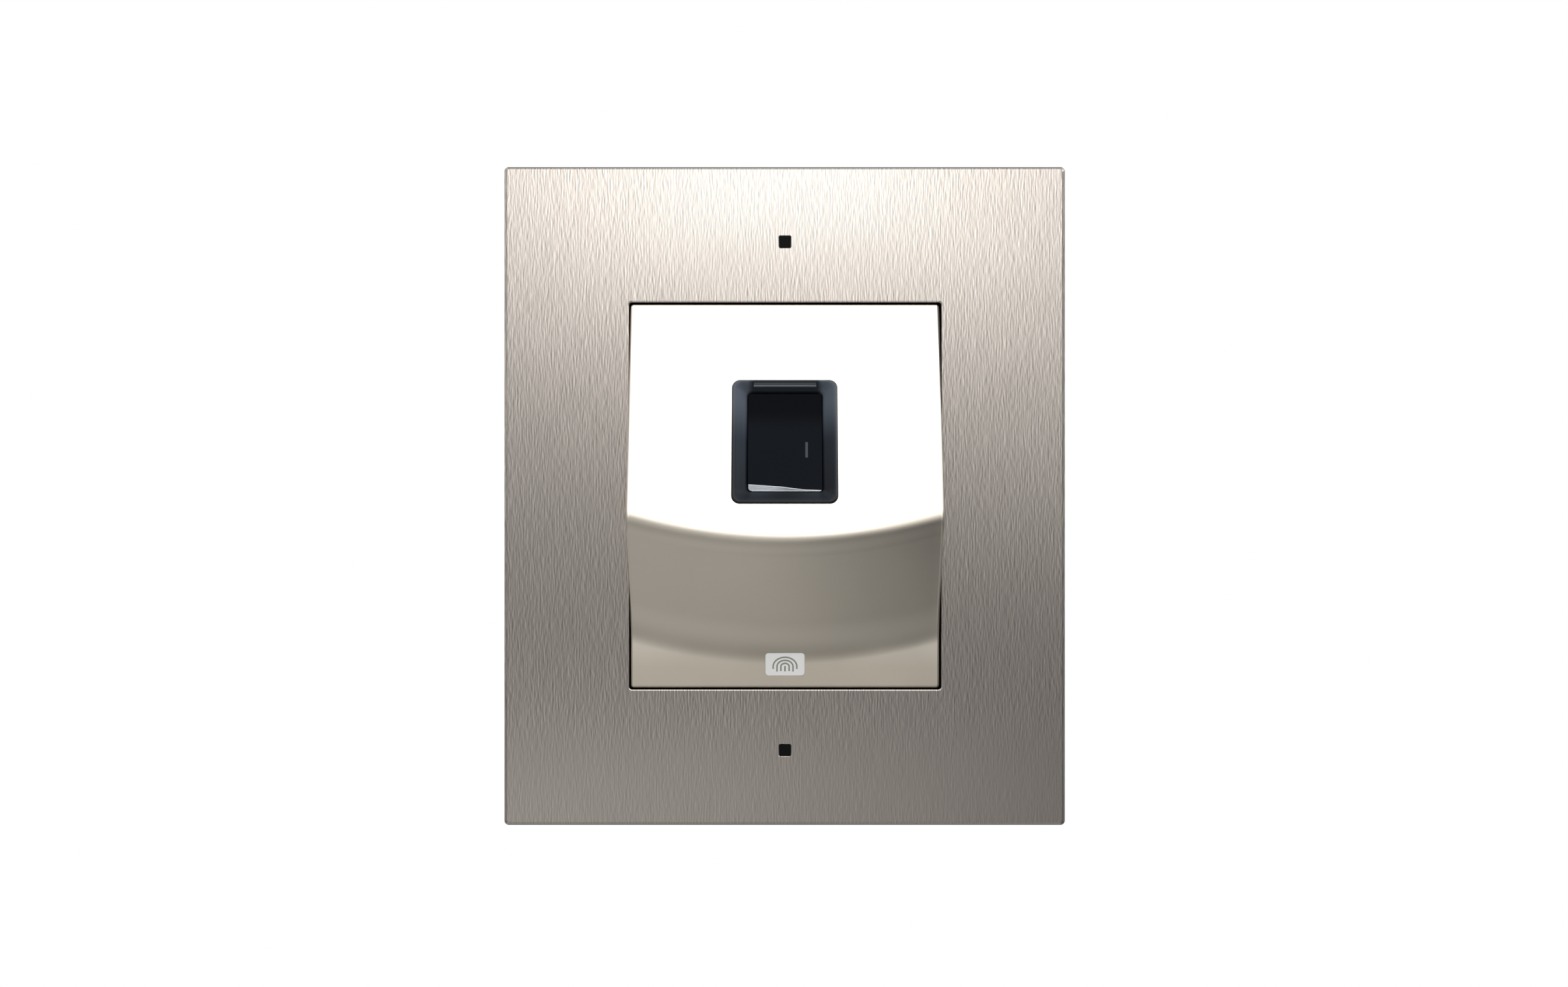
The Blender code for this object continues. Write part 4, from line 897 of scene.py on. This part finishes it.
# ----------------------------------------------------------------- wall box
def build_box():
    e = 1.6
    specs = [(104.0, 127.0, 3.0, -2.0), (104.0, 127.0, 3.0, WALL + 0.3), (104.5, 127.5, 3.2, WALL),
             (107.6, 130.6, 4.8, WALL), (108.0, 131.0, 5.0, WALL + 0.3)]
    for k in range(6):
        a = math.radians(90 * k / 5)
        inset = e * (1 - math.cos(a))
        specs.append((108 - 2 * inset, 131 - 2 * inset, 5.0 - inset, -e + e * math.sin(a)))
    bm = bmesh.new()
    skin(bm, rect_loops(specs, 8), cap_first=True, cap_last=True)
    obj = put("box_moulded", finish_mesh(bm, "box_moulded"), [box_plastic.mat])
    joins, cuts = [], []
    for sx in (-1, 1):
        for sz in (-1, 1):
            x, z = 46.2 * sx, 57.2 * sz
            x0, x1 = sorted((x - sx * 5, sx * 53.2))
            z0, z1 = sorted((z - sz * 5, sz * 64.7))
            joins.append(solid(f"post_{sx}_{sz}", soft_block(x1 - x0, z1 - z0, 1.5, -39.7, -1.0, 0.3, 2, (x0 + x1) / 2, (z0 + z1) / 2), 4))
            cuts.append(drum(f"post_hole_{sx}_{sz}", 1.9, -41, -27, x, z, 24))
    # keying ribs on the long sides
    for k, y in enumerate((-34.0, -22.0, -10.0)):
        for s in (-1, 1):
            bm2 = bmesh.new()
            loops = []
            for z, grow in ((-52.0, 0.25), (-51.3, 0.85), (-50.2, 1.2), (50.2, 1.2), (51.3, 0.85), (52.0, 0.25)):
                loops.append([(s * 53.4, y - 0.95, z), (s * (54 + grow * 0.7), y - 0.8, z), (s * (54 + grow), y - 0.35, z),
                              (s * (54 + grow), y + 0.35, z), (s * (54 + grow * 0.7), y + 0.8, z), (s * 53.4, y + 0.95, z)])
            skin(bm2, loops, cap_first=True, cap_last=True)
            joins.append(put(f"rib_{k}_{s}", finish_mesh(bm2, "rib")))

    def groove(name, x, y, z, along, r=8.5, wide=0.8, deep=0.6):
        steps = 48
        bm3 = bmesh.new()
        prof = [(r, -1.0), (r, 0.0), (r - wide * 0.3, deep), (r - wide * 0.7, deep), (r - wide, 0.0), (r - wide, -1.0)]
        loops = []
        for k in range(steps):
            a = 2 * math.pi * k / steps
            loop = []
            for rr, d in prof:
                c, s = rr * math.cos(a), rr * math.sin(a)
                if along == "Z":
                    loop.append((x + c, y + s, z - math.copysign(1, z) * d))
                else:
                    loop.append((x + c, y - d, z + s))
            loops.append(loop)
        skin(bm3, loops, ring=True)
        return put(name, finish_mesh(bm3, name))

    for k, (x, y, z, along) in enumerate(((-22, -22, 65.5, "Z"), (22, -22, 65.5, "Z"), (20, -22, -65.5, "Z"),
                                           (-24, 0, 26, "Y"), (24, 0, 26, "Y"), (0, 0, -34, "Y"))):
        cuts.append(groove(f"knockout_{k}", x, y, z, along))
        # a small centre mark for the drill
        if along == "Z":
            cuts.append(drum(f"centre_{k}", 0.7, z - 0.4, z + 0.4, x, y, 16, "Z"))
        else:
            cuts.append(drum(f"centre_{k}", 0.7, -0.4, 0.4, x, z, 16))
    # recessed fixing slots in the back
    for k, (x, z) in enumerate(((-34, -34), (34, -34), (0, 52), (0, 4))):
        cuts.append(solid(f"slot_{k}", [(12, 4.2, 2.09, -0.7, x, z), (12.6, 4.8, 2.39, 0.5, x, z)], 8))
    # a shallow blank panel
    cuts.append(solid("panel", [(30, 12, 1.2, -0.35, 0, -14), (30.5, 12.5, 1.4, 0.4, 0, -14)], 6))
    # this-way-up arrow, raised in its own shallow recess
    cuts.append(solid("arrow_recess", [(10, 10, 4.9, -0.8, -34, 0), (10.6, 10.6, 5.2, 0.4, -34, 0)], 10))
    cuts.append(drum("grommet_hole", 5.2, -67.5, -61.5, -20, -13, 48, "Z"))
    carve(obj, cuts, joins, sharp=40)
    weigh(obj)
    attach(obj, ROOT)
    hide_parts("wall_box")

    bm4 = bmesh.new()
    y0, y1 = -0.85, -0.05
    arrow = [(-34.9, -3.2), (-33.1, -3.2), (-33.1, 0.2), (-31.2, 0.2), (-34.0, 3.6), (-36.8, 0.2), (-34.9, 0.2)]
    lower = [bm4.verts.new((x * MM, y0 * MM, z * MM)) for x, z in arrow]
    upper = [bm4.verts.new((x * MM, y1 * MM, z * MM)) for x, z in arrow]
    bm4.faces.new(lower)
    bm4.faces.new(list(reversed(upper)))
    for k in range(7):
        bm4.faces.new((lower[k], upper[k], upper[(k + 1) % 7], lower[(k + 1) % 7]))
    mark_obj = put("box_arrow", finish_mesh(bm4, "box_arrow", merge=1e-9), [box_plastic.mat])
    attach(mark_obj, ROOT)


build_box()

grommet = put("grommet_moulded", lathe("grommet", [
    (6.3, 3.8), (6.75, 3.65), (7.0, 3.3), (7.0, 2.5), (6.9, 2.3), (5.1, 2.3), (4.9, 2.1), (4.9, -0.1), (5.1, -0.3),
    (7.7, -0.3), (8.0, -0.6), (8.0, -1.15), (7.75, -1.6), (7.2, -1.8), (4.6, -1.8), (4.2, -1.7), (4.0, -1.4),
    (4.0, 3.3), (4.15, 3.65), (4.5, 3.8)], 72, ring=True, at=(-0.020, -0.013, -0.0655)), [rubber.mat])
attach(grommet, ROOT)
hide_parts("cable_grommet")

bm = bmesh.new()
skin(bm, rect_loops([(113.6, 136.6, 2.6, FRONT + 2.4), (126.6, 149.6, 1.2, FRONT + 2.4), (127.0 - 0.6, 149.4, 1.0, FRONT + 3.4),
                     (126.6, 149.6, 1.2, WALL - 0.3), (125.8, 148.8, 1.0, WALL), (114.6, 137.6, 3.0, WALL),
                     (114.0, 137.0, 3.0, WALL - 0.3)], 6), ring=True)
seal = put("seal_foam", finish_mesh(bm, "seal_foam"), [foam.mat])
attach(seal, ROOT)
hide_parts("frame_seal")


# ----------------------------------------------------------------- return spring
def build_spring():
    """Return spring of the tamper plunger: wound wire with closed end turns, pressed shorter by the plunger."""
    low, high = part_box("tamper_spring")
    pin_low, pin_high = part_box("tamper_plunger")
    cx, cz = (pin_low.x + pin_high.x) / 2, (pin_low.z + pin_high.z) / 2
    wire, radius = 0.0002, (high.x - low.x) / 2 - 0.0002
    y0, y1 = low.y + wire, high.y - wire
    steps, turns = 132, 5.5
    loops = []
    for k in range(steps + 1):
        t = k / steps
        a = 2 * math.pi * turns * t
        # one flat turn at each end, the rest evenly pitched
        rise = min(max((t * turns - 0.9) / (turns - 1.8), 0.0), 1.0)
        seat = 0.00018 * (min(t * turns, 0.9) - min((1 - t) * turns, 0.9))
        y = y0 + (y1 - y0) * rise * 0.92 + (y1 - y0) * 0.04 + seat
        out = Vector((math.cos(a), 0, math.sin(a)))
        mid = Vector((cx, y, cz)) + out * radius
        loop = []
        for j in range(10):
            b = 2 * math.pi * j / 10
            p = mid + out * (wire * math.cos(b)) + Vector((0, wire * math.sin(b), 0))
            loop.append((p.x / MM, p.y / MM, p.z / MM))
        loops.append(loop)
    bm = bmesh.new()
    skin(bm, loops, cap_first=True, cap_last=True)
    obj = put("return_spring", finish_mesh(bm, "return_spring"), [spring_look.mat])
    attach(obj, ROOT)
    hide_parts("tamper_spring")
    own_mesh(obj)
    return obj


build_spring()

# --------------------------------------------------------------- studio
scene.view_settings.view_transform = "Standard"
scene.view_settings.look = "None"

world = bpy.data.worlds.new("studio")
scene.world = world
world.use_nodes = True
wt = world.node_tree
wt.nodes.clear()


def wnode(kind, **props):
    n = wt.nodes.new(kind)
    for k, v in props.items():
        setattr(n, k, v)
    return n


def wmath(op, a, b=0.0, clamp=False):
    n = wnode("ShaderNodeMath", operation=op, use_clamp=clamp)
    for socket, value in ((n.inputs[0], a), (n.inputs[1], b)):
        if isinstance(value, (int, float)):
            socket.default_value = value
        else:
            wt.links.new(value, socket)
    return n.outputs[0]


def wspan(value, lo, hi, to_lo, to_hi):
    n = wnode("ShaderNodeMapRange", interpolation_type="SMOOTHSTEP")
    wt.links.new(value, n.inputs["Value"])
    for key, v in zip(("From Min", "From Max", "To Min", "To Max"), (lo, hi, to_lo, to_hi)):
        n.inputs[key].default_value = v
    return n.outputs["Result"]


tc = wnode("ShaderNodeTexCoord")
sep = wnode("ShaderNodeSeparateXYZ")
wt.links.new(tc.outputs["Generated"], sep.inputs[0])
wx, wy, wz = sep.outputs
# brightness of the studio in front of the wall, by sine of elevation
STOPS = ((-1.0, 0.37), (-0.94, 0.375), (-0.82, 0.42), (-0.66, 0.42), (-0.48, 0.35), (-0.30, 0.295), (-0.19, 0.30),
         (-0.16, 1.20), (-0.12, 0.565), (-0.085, 0.275), (-0.03, 0.36), (0.02, 0.49), (0.06, 0.64), (0.085, 1.30),
         (0.115, 1.96), (0.15, 2.05), (0.82, 1.80), (0.93, 0.85), (1.0, 0.75))
PEAK = 2.2
ramp = wnode("ShaderNodeValToRGB")
height = wmath("MULTIPLY", wmath("ADD", wz, 1.0), 0.5)
wt.links.new(height, ramp.inputs["Fac"])
els = ramp.color_ramp.elements
while len(els) < len(STOPS):
    els.new(0.5)
for el, (s, lum) in zip(els, STOPS):
    el.position = (s + 1) / 2
    el.color = (lum / PEAK, lum / PEAK, lum / PEAK, 1)
front_light = wmath("MULTIPLY", ramp.outputs["Color"], PEAK)
# the upper light is strongest over the middle; low down it fades towards the right
far = wmath("ABSOLUTE", wx)
aside = wmath("MULTIPLY", wspan(far, 0.0, 0.20, 1.34, 0.90), wspan(far, 0.10, 0.95, 1.0, 0.2))
narrow = wmath("MULTIPLY", wspan(wz, 0.05, 0.11, 0.0, 1.0), wspan(wz, 0.2, 0.34, 1.0, 0.0))
pinch = wmath("SUBTRACT", 1.0, wmath("MULTIPLY", narrow, wspan(far, 0.0, 0.20, -0.66, 0.62)))
aside = wmath("MULTIPLY", aside, pinch)
aside = wmath("MULTIPLY", aside, wspan(wmath("MULTIPLY", wx, narrow), 0.04, 0.17, 1.0, 0.72))
aside = wmath("MULTIPLY", aside, wspan(wmath("MULTIPLY", wx, wmath("MULTIPLY", wspan(wz, 0.02, 0.06, 0.0, 1.0), wspan(wz, 0.11, 0.15, 1.0, 0.0))), -0.13, -0.04, 0.70, 1.0))
aside = wmath("MULTIPLY", aside, wspan(wmath("MULTIPLY", wx, wspan(wz, 0.03, 0.08, 1.0, 0.0)), 0.0, 0.12, 1.0, 1.30))
upper = wspan(wz, -0.08, 0.03, 0.0, 1.0)
fade = wspan(wx, -0.12, 0.60, 1.05, 0.25)
foot_band = wmath("MULTIPLY", wspan(wz, -0.13, -0.08, 1.0, 0.0), wspan(wz, -0.28, -0.19, 0.12, 1.0))
foot = wmath("SUBTRACT", 1.0, wmath("MULTIPLY", foot_band, wspan(wx, 0.0, 0.17, -0.06, 0.74)))
fade = wmath("MULTIPLY", fade, foot)
fade = wmath("MULTIPLY", fade, wspan(wx, -0.85, -0.50, 0.30, 1.0))
fade = wmath("MULTIPLY", fade, wspan(wmath("MULTIPLY", wx, foot_band), -0.16, -0.03, 0.70, 1.0))
side = wmath("ADD", wmath("MULTIPLY", aside, upper), wmath("MULTIPLY", fade, wmath("SUBTRACT", 1.0, upper)))
dx, dz = wmath("SUBTRACT", wx, 0.24), wmath("ADD", wz, 0.22)
away = wmath("SQRT", wmath("ADD", wmath("MULTIPLY", dx, dx), wmath("MULTIPLY", dz, dz)))
card = wspan(away, 0.04, 0.26, 0.25, 1.0)
front_light = wmath("MULTIPLY", wmath("MULTIPLY", front_light, side), card)
# low side panels, the left one brighter, that the frame's side chamfers pick up
panel = wmath("MULTIPLY", wspan(far, 0.72, 0.90, 0.0, 1.0), wspan(wmath("ABSOLUTE", wz), 0.35, 0.70, 1.0, 0.0))
left_panel = wspan(wz, -0.12, 0.13, 0.20, 0.72)
right_panel = wspan(wz, -0.10, 0.13, 0.24, 0.55)
on_right = wspan(wx, -0.5, 0.5, 0.0, 1.0)
both = wmath("ADD", wmath("MULTIPLY", left_panel, wmath("SUBTRACT", 1.0, on_right)), wmath("MULTIPLY", right_panel, on_right))
panel = wmath("MULTIPLY", panel, both)
front_light = wmath("MAXIMUM", front_light, panel)
behind = wspan(wy, -0.15, 0.45, 0.0, 1.0)
back_light = wmath("MULTIPLY", wspan(wz, 0.35, 0.9, 0.8, 0.28), wmath("SUBTRACT", 1.0, wmath("MULTIPLY", wspan(wx, 0.55, 0.85, 0.0, 0.8), wspan(wmath("ABSOLUTE", wz), 0.25, 0.55, 1.0, 0.0))))
level = wmath("ADD", wmath("MULTIPLY", front_light, wmath("SUBTRACT", 1.0, behind)), wmath("MULTIPLY", back_light, behind))
# a cool window high on the right
wa, wb, wc = wmath("SUBTRACT", wx, 0.84), wmath("SUBTRACT", wz, 0.46), wmath("ADD", wy, 0.28)
apart = wmath("ADD", wmath("ADD", wmath("MULTIPLY", wa, wa), wmath("MULTIPLY", wb, wb)), wmath("MULTIPLY", wc, wc))
window = wspan(wmath("SQRT", apart), 0.10, 0.40, 1.0, 0.0)
tint = wnode("ShaderNodeMix", data_type="RGBA")
wt.links.new(window, tint.inputs["Factor"])
tint.inputs[6].default_value = (1, 1, 1, 1)
tint.inputs[7].default_value = (0.72, 0.86, 1.0, 1)
level = wmath("ADD", level, wmath("MULTIPLY", window, 1.6))
lamp = wnode("ShaderNodeBackground")
wt.links.new(tint.outputs[2], lamp.inputs["Color"])
wt.links.new(level, lamp.inputs["Strength"])
paper = wnode("ShaderNodeBackground")
paper.inputs["Color"].default_value = (1, 1, 1, 1)
paper.inputs["Strength"].default_value = 1.0
pick = wnode("ShaderNodeMixShader")
path = wnode("ShaderNodeLightPath")
out = wnode("ShaderNodeOutputWorld")
wt.links.new(path.outputs["Is Camera Ray"], pick.inputs["Fac"])
wt.links.new(lamp.outputs[0], pick.inputs[1])
wt.links.new(paper.outputs[0], pick.inputs[2])
wt.links.new(pick.outputs[0], out.inputs["Surface"])

# pale floor, well below the terminal and out of the front view
bm = bmesh.new()
skin(bm, [[(900 * math.cos(2 * math.pi * k / 64), 900 * math.sin(2 * math.pi * k / 64), -640) for k in range(64)],
          [(890 * math.cos(2 * math.pi * k / 64), 890 * math.sin(2 * math.pi * k / 64), -632) for k in range(64)]], cap_first=True, cap_last=True)
pale = Look("pale_floor", roughness=0.8, color=(0.86, 0.86, 0.86))
floor = put("floor", finish_mesh(bm, "floor"), [pale.mat])
floor.visible_glossy = False
floor.visible_diffuse = False

# ---------------------------------------------------------------- camera
cam_data = bpy.data.cameras.new("camera")
cam = bpy.data.objects.new("camera", cam_data)
scene.collection.objects.link(cam)
cam_data.sensor_width = 36.0
cam_data.sensor_fit = "HORIZONTAL"
cam_data.lens = 49.485
cam_data.clip_start = 0.01
cam_data.clip_end = 20.0
cam.location = (-0.00023, (FRONT - 500.0) * MM, 0.00057)
cam.rotation_euler = (math.radians(90), 0, 0)
scene.camera = cam

bpy.context.view_layer.update()
